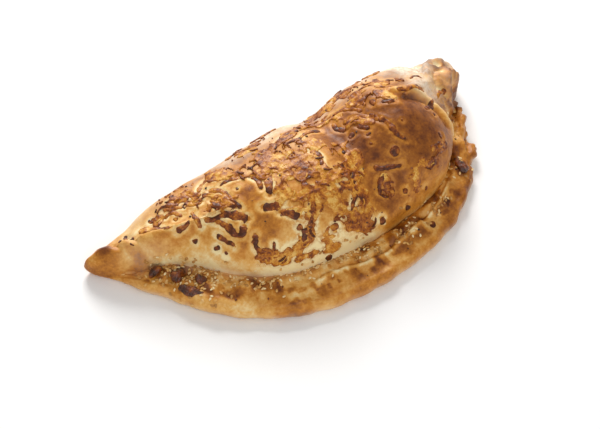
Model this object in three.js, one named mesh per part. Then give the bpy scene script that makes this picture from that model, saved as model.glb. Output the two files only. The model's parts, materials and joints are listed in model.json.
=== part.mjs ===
// A baked calzone: a round of pizza dough folded over its filling into a half-disc, its open edge
// pressed into a hem, its two ends drawn out into a tail and a knob. The shut dough is one solid
// with a flat base. A few burnt lumps of cheese sit on the hem as solids of their own.
//
// Millimetres, +Z up. X runs from the tail (-X) to the knob (+X), the hem faces -Y and the fold +Y.
// The origin is under the middle of the bounding box, on the base.

import * as THREE from 'three';
import { mergeVertices } from 'three/addons/utils/BufferGeometryUtils.js';

// ---- driving dimensions ----------------------------------------------------------------------

const HALF_LENGTH = 160;        // tip to tip is twice this
const HEM_REACH = 133;          // from the line through the tips to the front of the hem
const FOLD_BULGE = 10;          // how far the fold swells behind that line
const SPINE = { from: -80, to: 88, setBack: 48, rise: 9 };   // the crown line, in plan
const CROWN_X = [-80, -45, -10, 20, 46, 70, 88];             // stations on the spine
const CROWN_Z = [48, 55, 60, 61, 59, 66, 66];                // height of the dome there
const VALLEY = { x: 27, width: 13, depth: 3 };               // dip between the two larger bulges

const HEM_WIDTH = 30;           // seam to outer edge, on the middle of the front
const HEM_THICKNESS = 15;
const LIP_RADIUS = 6;           // rounding of the hem's outer edge, in plan
const LIP_DROP = 3;             // the hem's outer edge is this much thinner than its crest
const SEAM_HEIGHT = 9.5;        // bottom of the crease between the dome and the hem
const WIDEST_HEIGHT = 19;       // height at which the front of the dome is widest
const OVERHANG = 6;             // the dome over the seam, at its most
const FOLD_HEIGHT = 23;         // height at which the folded back is widest
const FOLD_TUCK = 16;           // how far the back curls in under itself

const TAIL_THICKNESS = 14;
const KNOB_THICKNESS = 19;
const KNOB = { x: 144, y: -4, size: 14, rise: 7 };           // the knob stands up at its end
const BLISTER = { x: -147, y: -8, size: 10, rise: 2 };       // on the tail
const PINCH = { x: -133, y: -14, width: 6, length: 20, depth: 3 };   // crease across the tail's root

const FINGER_PITCH = 23;        // spacing of the dents that pressing the hem shut left in it
const FINGER_DEPTH = 1.5;

// How the section changes near the two ends. reach: how much of the half length the change takes.
const TAIL_PINCH = { reach: 0.235, narrower: 0.68, power: 1.4 };   // of the outline
const KNOB_PINCH = { reach: 0.17, narrower: 0.5 };
const TAIL_END = { reach: 0.24, hem: 2, seam: 1.5, widest: 4, hemHeight: 1, fold: 16, tuck: 9 };
const KNOB_END = { reach: 0.16, hem: 2, seam: 4, overhang: 0.8, hemHeight: 2, fold: 12, tuck: 6 };
const END_POWER = 1.6;          // how sharply these changes set in
const SLOPE_REACH = { tail: 0.17, knob: 0.15 };              // where the dome runs out as a slope
const HEM_ENDS = { from: 0.86, to: 0.99 };                   // where the hem fades into the fold

// Along the front, from the tail (-1) to the knob (+1).
const HEM_SWELL = { at: -0.1, reach: 0.35, wider: 3 };
const HEM_NARROWS = { from: 0.25, to: 0.85, by: 8 };
const OVERHANG_GROWS = { from: -0.1, to: 0.75, least: 0.5 };
const WIDEST_RISES = { from: 0, to: 0.8, by: 7 };
const NOSE_CHANGES = { from: -0.5, to: 0.5 };

// The folded back, in plan.
const FOLD_ENDS = { tail: 0.42, tailLoss: 0.9, knob: 0.25, knobLoss: 0.35 };
const FOLD_BULGES = [{ at: 0.42, reach: 0.14, by: 2.5 }, { at: 0.8, reach: 0.09, by: -3 }];

const CREST_AT = 0.36;          // the hem is thickest this far from the seam to the lip
const LIP_FALLS_FROM = 0.5;     // and thins from here
const DENT_REACH = { plain: 0.8, nearKnob: 1.6, reach: 0.35 };   // how far a dent moves the edge
const SWELLINGS_FADE_BELOW = 12;
const VALLEY_DEEPENS_OVER = 30;

const STATIONS = 72;            // from tip to tip, on each side
const ROWS = { dome: 11, tuck: 3, hem: 7, lip: 4, base: 2 };

const SEAT_GAP = 0.55;          // between a lump of cheese and the dough under it
const LUMP_RINGS = 4;
const LUMP_SIDES = 14;
const LUMP_EDGE = 1;            // thickness at the rim
const LUMP_FOOT = 0.92;         // the foot is this much of the rim
const LUMP_WAVES = [{ lobes: 3, depth: 0.12 }, { lobes: 5, depth: 0.08 }];
// at: mm along the outline from the knob, over the fold and round the tail; across: row on the hem
const LUMPS = [
  { at: 367, across: 2.6, length: 13, width: 8, height: 5, turn: 59 },
  { at: 384, across: 2.55, length: 15, width: 9, height: 5.5, turn: 50 },
  { at: 404, across: 2.95, length: 22, width: 9, height: 5, turn: 4 },
  { at: 405, across: 2.52, length: 9, width: 6, height: 4.5, turn: 20 },
  { at: 674, across: 2.78, length: 12, width: 9, height: 4, turn: -84 },
];

// ---- helpers ---------------------------------------------------------------------------------

const clamp01 = (t) => Math.min(Math.max(t, 0), 1);
const mix = (a, b, t) => a + (b - a) * t;
const bell = (distance, width, power = 2) => Math.exp(-((Math.abs(distance) / width) ** power));

function smooth(from, to, x) {
  const t = clamp01((x - from) / (to - from));
  return t * t * (3 - 2 * t);
}

// A smooth curve through stations (cubic Hermite, slopes from the neighbours, level at both ends).
function through(xs, ys, x) {
  const last = xs.length - 1;
  const at = Math.min(Math.max(x, xs[0]), xs[last]);
  let i = 0;
  while (i < last - 1 && at > xs[i + 1]) i += 1;
  const slope = (k) => (k === 0 || k === last ? 0 : (ys[k + 1] - ys[k - 1]) / (xs[k + 1] - xs[k - 1]));
  const span = xs[i + 1] - xs[i];
  const t = (at - xs[i]) / span;
  const t2 = t * t;
  const t3 = t2 * t;
  return (2 * t3 - 3 * t2 + 1) * ys[i] + (t3 - 2 * t2 + t) * span * slope(i)
    + (3 * t2 - 2 * t3) * ys[i + 1] + (t3 - t2) * span * slope(i + 1);
}

// ---- plan: outline and spine, by the angle a from the knob round the back --------------------

function outline(a) {
  const u = Math.cos(a);
  const side = Math.sin(a);
  const tailPinch = 1 - TAIL_PINCH.narrower * bell(1 + u, TAIL_PINCH.reach, TAIL_PINCH.power);
  const knobPinch = 1 - KNOB_PINCH.narrower * bell(1 - u, KNOB_PINCH.reach);
  const hem = HEM_REACH * side * tailPinch * knobPinch;
  const ends = (1 - FOLD_ENDS.tailLoss * bell(1 + u, FOLD_ENDS.tail))
    * (1 - FOLD_ENDS.knobLoss * bell(1 - u, FOLD_ENDS.knob));
  let fold = FOLD_BULGE * clamp01(4 * side) * ends;
  FOLD_BULGES.forEach(({ at, reach, by }) => { fold += by * bell(u - at, reach); });
  return new THREE.Vector2(HALF_LENGTH * u, side < 0 ? hem : fold);
}

function spine(a) {
  const u = Math.cos(a);
  return new THREE.Vector2(mix(SPINE.from, SPINE.to, (1 + u) / 2), SPINE.rise * u * u - SPINE.setBack);
}

// Length along the outline, tabled so that the hem's dents can be spaced in millimetres.
const ARC_STEPS = 2000;
const arc = [0];
for (let i = 1; i <= ARC_STEPS; i += 1) {
  const step = (2 * Math.PI) / ARC_STEPS;
  arc.push(arc[i - 1] + outline(i * step).distanceTo(outline((i - 1) * step)));
}

function arcAt(a) {
  const f = (a / (2 * Math.PI)) * ARC_STEPS;
  const i = Math.min(Math.floor(f), ARC_STEPS - 1);
  return mix(arc[i], arc[i + 1], f - i);
}

function angleAt(length) {
  let i = 0;
  while (i < ARC_STEPS - 1 && arc[i + 1] < length) i += 1;
  return ((i + (length - arc[i]) / (arc[i + 1] - arc[i])) / ARC_STEPS) * 2 * Math.PI;
}

// Uneven dents, from three wavelengths that never fall into step.
function fingers(length) {
  const turn = 2 * Math.PI * length;
  return 0.5 * Math.sin(turn / FINGER_PITCH)
    + 0.3 * Math.sin(turn / (1.6 * FINGER_PITCH) + 1.2) + 0.2 * Math.sin(turn / (2.7 * FINGER_PITCH) + 0.5);
}

// ---- the dough's surface -------------------------------------------------------------------------
// v runs outwards from the crown: 0 crown, 1 widest line of the dome, 2 seam, 3 top of the lip,
// 4 foot, 5 middle of the base. The folded back has no hem: there, 1 to 4 is one tucked curve.

function doughPoint(a, v) {
  const top = spine(a);
  const out = outline(a).sub(top);
  const reach = out.length();
  out.normalize();
  const u = Math.cos(a);
  const tail = bell(1 + u, TAIL_END.reach, END_POWER);
  const knob = bell(1 - u, KNOB_END.reach, END_POWER);
  const tapered = bell(1 + u, SLOPE_REACH.tail) + bell(1 - u, SLOPE_REACH.knob);
  const hemmed = Math.sin(a) < 0 ? 1 - smooth(HEM_ENDS.from, HEM_ENDS.to, Math.abs(u)) : 0;
  const dent = hemmed * fingers(arcAt(a));
  const edge = reach + dent * (DENT_REACH.plain + DENT_REACH.nearKnob * bell(1 - u, DENT_REACH.reach));

  // sizes of this section
  const hem = HEM_WIDTH - TAIL_END.hem * tail - KNOB_END.hem * knob
    + HEM_SWELL.wider * bell(u - HEM_SWELL.at, HEM_SWELL.reach)
    - HEM_NARROWS.by * smooth(HEM_NARROWS.from, HEM_NARROWS.to, u);
  const overhang = mix(OVERHANG_GROWS.least, OVERHANG, smooth(OVERHANG_GROWS.from, OVERHANG_GROWS.to, u))
    * (1 - KNOB_END.overhang * knob);
  const seamZ = SEAM_HEIGHT + TAIL_END.seam * tail + KNOB_END.seam * knob;
  const widestZ = WIDEST_HEIGHT + WIDEST_RISES.by * smooth(WIDEST_RISES.from, WIDEST_RISES.to, u)
    - TAIL_END.widest * tail;
  const hemZ = HEM_THICKNESS - TAIL_END.hemHeight * tail + KNOB_END.hemHeight * knob;
  const lipZ = hemZ - LIP_DROP;
  const foldZ = FOLD_HEIGHT - TAIL_END.fold * tail - KNOB_END.fold * knob;
  const noseZ = mix(TAIL_THICKNESS, KNOB_THICKNESS, smooth(NOSE_CHANGES.from, NOSE_CHANGES.to, u));
  const tuck = FOLD_TUCK - TAIL_END.tuck * tail - KNOB_END.tuck * knob;
  const seam = reach - hem;

  // the dome, down to its widest line: an ellipse, or near the tips a slope that runs out level
  const quarter = (t) => clamp01(t) * Math.PI / 2;
  const spread = Math.sin(quarter(v)) ** 0.95;
  const round = Math.cos(quarter(v));
  const slope = 0.5 * (1 + Math.cos(Math.PI * spread));
  let frontR = (seam + overhang) * spread;
  let backR = reach * spread;
  const crown = through(CROWN_X, CROWN_Z, top.x + out.x * mix(backR, frontR, hemmed));
  const nose = mix(foldZ, noseZ, Math.sqrt(clamp01(1 - spread ** 5))) + (crown - noseZ) * slope;
  let frontZ = mix(widestZ, crown, mix(round, slope, 0.8 * tapered));
  let backZ = mix(mix(foldZ, crown, round), nose, tapered);

  if (v > 1) {
    frontR = seam + overhang * Math.cos(quarter(v - 1));
    frontZ = mix(widestZ, seamZ, Math.sin(quarter(v - 1)));
    backR = reach - tuck * (1 - Math.cos(quarter((v - 1) / 3)));
    backZ = foldZ * (1 - Math.sin(quarter((v - 1) / 3)));
  }
  if (v > 2) {
    const t = clamp01(v - 2);
    frontR = mix(seam, edge - LIP_RADIUS, t);
    frontZ = mix(seamZ, hemZ, Math.sin(quarter(t / CREST_AT)) ** 0.8)
      - LIP_DROP * smooth(LIP_FALLS_FROM, 1, t)
      + FINGER_DEPTH * dent * Math.sin(Math.PI * t);
  }
  if (v > 3) {
    const t = clamp01(v - 3) * Math.PI;
    frontR = edge - LIP_RADIUS * (1 - Math.abs(Math.sin(t)) ** 0.9);
    frontZ = (lipZ / 2) * (1 + Math.cos(t));
  }
  const inwards = v > 4 ? 5 - v : 1;
  const r = mix(backR, frontR, hemmed) * inwards;
  let z = v >= 4 ? 0 : mix(backZ, frontZ, hemmed);

  // local swellings, which fade out towards the base
  const x = top.x + out.x * r;
  const y = top.y + out.y * r;
  const upper = clamp01(z / SWELLINGS_FADE_BELOW);
  const swelling = ({ x: cx, y: cy, size, rise }) => rise * bell(Math.hypot(x - cx, y - cy), size);
  z -= VALLEY.depth * clamp01((z - WIDEST_HEIGHT) / VALLEY_DEEPENS_OVER) * bell(x - VALLEY.x, VALLEY.width);
  z += upper * (swelling(KNOB) + swelling(BLISTER));
  z -= upper * PINCH.depth * bell(x - PINCH.x, PINCH.width) * bell(y - PINCH.y, PINCH.length);
  return new THREE.Vector3(x, y, z);
}

// ---- meshes ------------------------------------------------------------------------------------

// Rings of points, each joined to the next. Points that fall together are merged, which closes the
// mesh along the spine and under the middle of the base.
function geometryFromRings(rings) {
  const count = rings[0].length;
  const index = [];
  for (let i = 0; i < rings.length - 1; i += 1) {
    for (let j = 0; j < count; j += 1) {
      const next = (j + 1) % count;
      const [p, q] = [i * count + j, i * count + next];
      const [s, t] = [p + count, q + count];
      index.push(p, s, t, p, t, q);
    }
  }
  const merged = new THREE.BufferGeometry();
  const coordinates = rings.flat().flatMap((p) => p.toArray());
  merged.setAttribute('position', new THREE.Float32BufferAttribute(coordinates, 3));
  merged.setIndex(index);
  const welded = mergeVertices(merged, 1e-3);
  const kept = [];
  const corners = welded.index.array;
  for (let i = 0; i < corners.length; i += 3) {
    const [a, b, c] = corners.slice(i, i + 3);
    if (a !== b && b !== c && c !== a) kept.push(a, b, c);
  }
  welded.setIndex(kept);
  return welded;
}

// The same angles on the front as on the back, evenly spaced along the hem, so that both halves
// meet point to point on the spine.
function stationAngles() {
  const tip = arcAt(Math.PI);
  const end = arc[ARC_STEPS];
  const front = Array.from({ length: STATIONS - 1 }, (_, k) => angleAt(mix(tip, end, (k + 1) / STATIONS)));
  const back = front.map((a) => 2 * Math.PI - a).reverse();
  return [0, ...back, Math.PI, ...front];
}

function rowLevels() {
  const levels = [0];
  Object.values(ROWS).forEach((rows, zone) => {
    for (let k = 1; k <= rows; k += 1) levels.push(zone + k / rows);
  });
  return levels;
}

function doughGeometry() {
  const angles = stationAngles();
  return geometryFromRings(rowLevels().map((v) => angles.map((a) => doughPoint(a, v))));
}

// A lump that follows the dough under it: a rounded patch of the hem, raised by SEAT_GAP below and
// by its own height above.
function lumpGeometry({ at, across, length, width, height, turn }, seed) {
  const hemPoint = (s, v) => doughPoint(angleAt(s), v);
  // The way the surface runs at (s, v), over a step along the hem or a step across it.
  const alongHem = (s, v, step) => hemPoint(s + step, v).sub(hemPoint(s - step, v));
  const acrossHem = (s, v, step) => hemPoint(s, v + step).sub(hemPoint(s, v - step));
  const patch = (along, outwards, lift) => {
    const stretch = alongHem(at, across, 1).length() / 2;
    const depth = acrossHem(at, across, 0.1).length() / 0.2;
    const [s, v] = [at + along / stretch, across + outwards / depth];
    const normal = alongHem(s, v, 1.5).cross(acrossHem(s, v, 0.08)).normalize();
    if (normal.z < 0) normal.negate();
    return hemPoint(s, v).addScaledVector(normal, lift);
  };
  const cosTurn = Math.cos(THREE.MathUtils.degToRad(turn));
  const sinTurn = Math.sin(THREE.MathUtils.degToRad(turn));
  const ring = (radius, lift) => Array.from({ length: LUMP_SIDES }, (_, k) => {
    const angle = (-2 * Math.PI * k) / LUMP_SIDES;
    const waves = LUMP_WAVES.map(({ lobes, depth }, i) => depth * Math.sin(lobes * angle + (i + 1) * seed));
    const uneven = 1 + waves.reduce((sum, wave) => sum + wave, 0);
    const p = 0.5 * length * radius * uneven * Math.cos(angle);
    const q = 0.5 * width * radius * uneven * Math.sin(angle);
    return patch(p * cosTurn - q * sinTurn, p * sinTurn + q * cosTurn, lift);
  });
  const rings = [];
  for (let k = 0; k <= LUMP_RINGS; k += 1) {
    const t = (k / LUMP_RINGS) * Math.PI / 2;
    rings.push(ring(Math.sin(t), SEAT_GAP + LUMP_EDGE + (height - LUMP_EDGE) * Math.cos(t)));
  }
  for (let k = LUMP_RINGS; k >= 0; k -= 1) rings.push(ring(LUMP_FOOT * (k / LUMP_RINGS), SEAT_GAP));
  return geometryFromRings(rings);
}

// ---- the part ----------------------------------------------------------------------------------

const bakedDough = new THREE.MeshStandardMaterial({ color: '#d09a56', roughness: 0.75, metalness: 0 });
const burntCheese = new THREE.MeshStandardMaterial({ color: '#5e2f16', roughness: 0.4, metalness: 0 });

const calzone = new THREE.Group();
calzone.name = 'calzone';

const dough = new THREE.Mesh(doughGeometry(), bakedDough);
dough.name = 'dough';
calzone.add(dough);

LUMPS.forEach((lump, i) => {
  const mesh = new THREE.Mesh(lumpGeometry(lump, 1.7 * i), burntCheese.clone());
  mesh.name = `burnt_cheese_${i + 1}`;
  calzone.add(mesh);
});

// The box's middle goes to the origin.
const box = new THREE.Box3().setFromObject(calzone);
const middle = box.getCenter(new THREE.Vector3());
calzone.children.forEach((mesh) => mesh.position.set(-middle.x, -middle.y, -box.min.z));

export default calzone;
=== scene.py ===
"""A baked calzone: dough folded over its filling, its open edge pressed into a hem, with grated
cheese browned on top, burnt lumps of cheese on the hem and sesame seeds along the seam.

Laid out as a Blender add-on and run as a script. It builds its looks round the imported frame.
Lengths inside the functions are millimetres; meshes are made in metres.
"""
import json
import math
from functools import lru_cache
from itertools import product
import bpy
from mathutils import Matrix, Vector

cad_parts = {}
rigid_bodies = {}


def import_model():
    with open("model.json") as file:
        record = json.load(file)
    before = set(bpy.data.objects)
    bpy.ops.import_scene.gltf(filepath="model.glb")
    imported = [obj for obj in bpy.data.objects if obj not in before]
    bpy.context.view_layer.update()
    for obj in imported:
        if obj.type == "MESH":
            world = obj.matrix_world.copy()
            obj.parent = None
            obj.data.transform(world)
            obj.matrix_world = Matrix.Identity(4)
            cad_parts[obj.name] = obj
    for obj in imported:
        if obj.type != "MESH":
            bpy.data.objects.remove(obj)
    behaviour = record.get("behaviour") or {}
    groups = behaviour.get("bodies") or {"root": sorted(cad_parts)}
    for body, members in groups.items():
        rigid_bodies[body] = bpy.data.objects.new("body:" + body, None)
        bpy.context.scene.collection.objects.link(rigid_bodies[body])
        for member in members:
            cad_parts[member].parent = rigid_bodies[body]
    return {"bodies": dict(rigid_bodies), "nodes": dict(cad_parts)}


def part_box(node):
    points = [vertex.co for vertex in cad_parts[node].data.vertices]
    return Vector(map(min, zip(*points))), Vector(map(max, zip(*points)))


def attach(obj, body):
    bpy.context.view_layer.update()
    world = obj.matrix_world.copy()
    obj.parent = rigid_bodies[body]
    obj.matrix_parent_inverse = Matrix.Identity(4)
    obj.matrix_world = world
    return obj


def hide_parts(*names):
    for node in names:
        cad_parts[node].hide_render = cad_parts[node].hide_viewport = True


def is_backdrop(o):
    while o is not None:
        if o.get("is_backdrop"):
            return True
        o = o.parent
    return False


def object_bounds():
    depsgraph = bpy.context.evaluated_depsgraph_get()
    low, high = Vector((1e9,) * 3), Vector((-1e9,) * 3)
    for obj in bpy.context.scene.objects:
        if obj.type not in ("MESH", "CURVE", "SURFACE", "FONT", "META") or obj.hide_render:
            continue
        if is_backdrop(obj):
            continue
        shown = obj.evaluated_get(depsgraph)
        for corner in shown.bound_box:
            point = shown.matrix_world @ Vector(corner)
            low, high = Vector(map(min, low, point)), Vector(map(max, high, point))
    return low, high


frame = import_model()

from types import SimpleNamespace as Named

import bpy
import numpy as np
from bpy.props import FloatProperty, FloatVectorProperty, PointerProperty
from bpy.types import Operator, Panel, PropertyGroup
from mathutils import Matrix, Vector
from mathutils.bvhtree import BVHTree
from mathutils.kdtree import KDTree

bl_info = {
    "name": "Calzone",
    "version": (1, 0, 0),
    "blender": (4, 5, 0),
    "location": "View3D > Sidebar > Calzone",
    "description": "Builds a baked calzone round its packed frame",
    "category": "Object",
}

MM = 0.001
BODY = next(iter(frame["bodies"]))
CAD_BOX = [np.array(corner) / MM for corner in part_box("dough")]
LUMP_NODES = sorted(name for name in frame["nodes"] if name.startswith("burnt_cheese"))

# ---- the plain dough, in mm: the same section rule as the frame's --------------------------------

HALF_LENGTH = 160
HEM_REACH = 133
FOLD_BULGE = 10
SPINE_FROM, SPINE_TO, SPINE_BACK, SPINE_RISE = -80, 88, 48, 9
CROWN_X = (-80, -45, -10, 20, 46, 70, 88)
CROWN_Z = (48, 55, 60, 61, 59, 66, 66)
VALLEY_X, VALLEY_WIDTH, VALLEY_DEPTH, VALLEY_DEEPENS_OVER = 27, 13, 3, 30
HEM_WIDTH, HEM_THICKNESS = 30, 15
LIP_RADIUS, LIP_DROP = 6, 3
SEAM_HEIGHT, WIDEST_HEIGHT, OVERHANG = 9.5, 19, 6
FOLD_HEIGHT, FOLD_TUCK = 23, 16
TAIL_THICKNESS, KNOB_THICKNESS = 14, 19
KNOB = (144, -4, 14, 7)         # x, y, reach, height
BLISTER = (-147, -8, 10, 2)
SWELLINGS_FADE_BELOW = 12
PINCH_X, PINCH_Y, PINCH_WIDTH, PINCH_LENGTH, PINCH_DEPTH = -133, -14, 6, 20, 3
FINGER_PITCH, FINGER_DEPTH = 23, 1.5
FINGER_WAVES = ((0.5, 1, 0), (0.3, 1.6, 1.2), (0.2, 2.7, 0.5))     # strength, pitches long, phase

# How the section changes near the ends. reach: how much of the half length the change takes.
TAIL_PINCH = Named(reach=0.235, narrower=0.68, power=1.4)
KNOB_PINCH = Named(reach=0.17, narrower=0.5)
TAIL_END = Named(reach=0.24, hem=2, seam=1.5, widest=4, hem_height=1, fold=16, tuck=9)
KNOB_END = Named(reach=0.16, hem=2, seam=4, overhang=0.8, hem_height=2, fold=12, tuck=6)
END_POWER = 1.6
TAIL_SLOPE, KNOB_SLOPE = 0.17, 0.15
FOLD_ENDS = Named(tail=0.42, tail_loss=0.9, knob=0.25, knob_loss=0.35, steepness=4)
FOLD_BULGES = ((0.42, 0.14, 2.5), (0.8, 0.09, -3))                  # at, reach, outwards

# Along the front, from the tail (-1) to the knob (1).
HEM_ENDS = (0.86, 0.99)
HEM_SWELL = Named(at=-0.1, reach=0.35, wider=3)
HEM_NARROWS, HEM_NARROWS_BY = (0.25, 0.85), 8
OVERHANG_GROWS, LEAST_OVERHANG = (-0.1, 0.75), 0.5
WIDEST_RISES, WIDEST_RISES_BY = (0, 0.8), 7
NOSE_CHANGES = (-0.5, 0.5)
DENT_REACH = Named(plain=0.8, near_knob=1.6, reach=0.35)

# Powers that round the curves of the section.
DOME_POWER, NOSE_POWER, HEM_POWER, LIP_POWER = 0.95, 5, 0.8, 0.9
SLOPE_SHARE = 0.8               # how far the ends of the dome are a slope instead of a round
CREST_AT, LIP_FALLS_FROM = 0.36, 0.5

# Rows of the crust from the crown outwards, zone by zone: dome, tuck, hem, lip, base.
CRUST_ROWS = (92, 12, 38, 18, 3)
CRUST_STATIONS = 290
SEAT_ROWS = (40, 5, 16, 8, 1)
SEAT_STATIONS = 130
MAT_ROWS = 150
MAT_STATIONS = 450


def clamp01(t):
    return np.clip(t, 0, 1)


def mix(a, b, t):
    return a + (b - a) * t


def smooth(start, end, x):
    t = clamp01((x - start) / (end - start))
    return t * t * (3 - 2 * t)


def bell(distance, width, power=2):
    return np.exp(-(np.abs(distance) / width) ** power)


def cubic(start, end, start_slope, end_slope, t):
    """The cubic from start to end with these slopes at its ends, at t from 0 to 1."""
    t2, t3 = t * t, t * t * t
    first = (2 * t3 - 3 * t2 + 1) * start + (t3 - 2 * t2 + t) * start_slope
    return first + (3 * t2 - 2 * t3) * end + (t3 - t2) * end_slope


def hermite(knots, slopes, t):
    """Cubic through knots one apart, at t from 0 to their number less one."""
    i = np.clip(np.floor(t).astype(int), 0, len(knots) - 2)
    t = (t - i).reshape((-1,) + (1,) * (knots.ndim - 1))
    return cubic(knots[i], knots[i + 1], slopes[i], slopes[i + 1], t)


def crown_height(x):
    xs, zs = np.array(CROWN_X, float), np.array(CROWN_Z, float)
    rates = np.zeros(len(xs))
    rates[1:-1] = (zs[2:] - zs[:-2]) / (xs[2:] - xs[:-2])
    x = np.clip(x, xs[0], xs[-1])
    i = np.clip(np.searchsorted(xs, x) - 1, 0, len(xs) - 2)
    span = xs[i + 1] - xs[i]
    return cubic(zs[i], zs[i + 1], span * rates[i], span * rates[i + 1], (x - xs[i]) / span)


def outline(a):
    """The edge in plan, x and y, at the turn a: 0 is the knob, pi the tail, beyond pi the hem."""
    u, side = np.cos(a), np.sin(a)
    tail_pinch = 1 - TAIL_PINCH.narrower * bell(1 + u, TAIL_PINCH.reach, TAIL_PINCH.power)
    knob_pinch = 1 - KNOB_PINCH.narrower * bell(1 - u, KNOB_PINCH.reach)
    hem = HEM_REACH * side * tail_pinch * knob_pinch
    fold = FOLD_BULGE * clamp01(FOLD_ENDS.steepness * side)
    fold = fold * (1 - FOLD_ENDS.tail_loss * bell(1 + u, FOLD_ENDS.tail))
    fold = fold * (1 - FOLD_ENDS.knob_loss * bell(1 - u, FOLD_ENDS.knob))
    for at, reach, outwards in FOLD_BULGES:
        fold = fold + outwards * bell(u - at, reach)
    return HALF_LENGTH * u, np.where(side < 0, hem, fold)


TURN = np.linspace(0, 2 * np.pi, 4001)
ARC = np.concatenate([[0], np.cumsum(np.hypot(*np.diff(outline(TURN), axis=1)))])


def fingers(length):
    """The marks of the fingers that pressed the hem, from -1 to 1 along its length."""
    return sum(
        strength * np.sin(2 * np.pi * length / (pitches * FINGER_PITCH) + phase)
        for strength, pitches, phase in FINGER_WAVES
    )


def hemmed(a):
    """1 where the edge is pressed into a hem, 0 along the fold, eased at the tips."""
    return np.where(np.sin(a) < 0, 1 - smooth(*HEM_ENDS, np.abs(np.cos(a))), 0)


def raw_dough_point(a, v):
    """Points of the plain dough.

    v: 0 crown, 1 widest line, 2 seam, 3 lip, 4 foot, 5 middle of the base.
    """
    u = np.cos(a)
    top = np.stack([mix(SPINE_FROM, SPINE_TO, (1 + u) / 2), SPINE_RISE * u * u - SPINE_BACK], axis=-1)
    out = np.stack(outline(a), axis=-1) - top
    reach = np.hypot(out[..., 0], out[..., 1])
    out = out / reach[..., None]
    tail, knob = bell(1 + u, TAIL_END.reach, END_POWER), bell(1 - u, KNOB_END.reach, END_POWER)
    tapered = bell(1 + u, TAIL_SLOPE) + bell(1 - u, KNOB_SLOPE)
    front = hemmed(a)
    dent = front * fingers(np.interp(a, TURN, ARC))
    edge = reach + dent * (DENT_REACH.plain + DENT_REACH.near_knob * bell(1 - u, DENT_REACH.reach))

    hem = HEM_WIDTH - TAIL_END.hem * tail - KNOB_END.hem * knob
    hem = hem + HEM_SWELL.wider * bell(u - HEM_SWELL.at, HEM_SWELL.reach)
    hem = hem - HEM_NARROWS_BY * smooth(*HEM_NARROWS, u)
    overhang = mix(LEAST_OVERHANG, OVERHANG, smooth(*OVERHANG_GROWS, u)) * (1 - KNOB_END.overhang * knob)
    seam_z = SEAM_HEIGHT + TAIL_END.seam * tail + KNOB_END.seam * knob
    widest_z = WIDEST_HEIGHT + WIDEST_RISES_BY * smooth(*WIDEST_RISES, u) - TAIL_END.widest * tail
    hem_z = HEM_THICKNESS - TAIL_END.hem_height * tail + KNOB_END.hem_height * knob
    lip_z = hem_z - LIP_DROP
    fold_z = FOLD_HEIGHT - TAIL_END.fold * tail - KNOB_END.fold * knob
    nose_z = mix(TAIL_THICKNESS, KNOB_THICKNESS, smooth(*NOSE_CHANGES, u))
    tuck = FOLD_TUCK - TAIL_END.tuck * tail - KNOB_END.tuck * knob
    seam = reach - hem

    quarter = clamp01(v) * np.pi / 2
    spread = np.sin(quarter) ** DOME_POWER
    slope = 0.5 * (1 + np.cos(np.pi * spread))
    front_r = (seam + overhang) * spread
    back_r = reach * spread
    crown = crown_height(top[..., 0] + out[..., 0] * mix(back_r, front_r, front))
    nose = mix(fold_z, nose_z, np.sqrt(clamp01(1 - spread ** NOSE_POWER))) + (crown - nose_z) * slope
    front_z = mix(widest_z, crown, mix(np.cos(quarter), slope, SLOPE_SHARE * tapered))
    back_z = mix(mix(fold_z, crown, np.cos(quarter)), nose, tapered)

    down = clamp01(v - 1) * np.pi / 2
    tucked = clamp01((v - 1) / 3) * np.pi / 2
    front_r = np.where(v > 1, seam + overhang * np.cos(down), front_r)
    front_z = np.where(v > 1, mix(widest_z, seam_z, np.sin(down)), front_z)
    back_r = np.where(v > 1, reach - tuck * (1 - np.cos(tucked)), back_r)
    back_z = np.where(v > 1, fold_z * (1 - np.sin(tucked)), back_z)
    t = clamp01(v - 2)
    rise = np.sin(clamp01(t / CREST_AT) * np.pi / 2) ** HEM_POWER
    hem_top = mix(seam_z, hem_z, rise) - LIP_DROP * smooth(LIP_FALLS_FROM, 1, t)
    hem_top = hem_top + FINGER_DEPTH * dent * np.sin(np.pi * t)
    front_r = np.where(v > 2, mix(seam, edge - LIP_RADIUS, t), front_r)
    front_z = np.where(v > 2, hem_top, front_z)
    lip = clamp01(v - 3) * np.pi
    front_r = np.where(v > 3, edge - LIP_RADIUS * (1 - np.abs(np.sin(lip)) ** LIP_POWER), front_r)
    front_z = np.where(v > 3, lip_z / 2 * (1 + np.cos(lip)), front_z)
    r = mix(back_r, front_r, front) * np.where(v > 4, 5 - v, 1)
    z = np.where(v >= 4, 0, mix(back_z, front_z, front))

    x, y = top[..., 0] + out[..., 0] * r, top[..., 1] + out[..., 1] * r
    upper = clamp01(z / SWELLINGS_FADE_BELOW)
    deep = clamp01((z - WIDEST_HEIGHT) / VALLEY_DEEPENS_OVER)
    z = z - VALLEY_DEPTH * deep * bell(x - VALLEY_X, VALLEY_WIDTH)
    for cx, cy, size, height in (KNOB, BLISTER):
        z = z + upper * height * bell(np.hypot(x - cx, y - cy), size)
    z = z - upper * PINCH_DEPTH * bell(x - PINCH_X, PINCH_WIDTH) * bell(y - PINCH_Y, PINCH_LENGTH)
    return np.stack([x, y, z], axis=-1)


def row_levels(rows):
    """Levels v of the rows of points, for so many rows in each zone."""
    zones = [zone + np.arange(1, count + 1) / count for zone, count in enumerate(rows)]
    return np.concatenate([[0]] + zones)


def station_angles(count):
    """Angles evenly spaced along the hem, and the same on the fold, so both meet on the spine."""
    tip = np.interp(np.pi, TURN, ARC)
    front = np.interp(np.linspace(tip, ARC[-1], count + 1)[1:-1], ARC, TURN)
    return np.concatenate([[0], 2 * np.pi - front[::-1], [np.pi], front])


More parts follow.
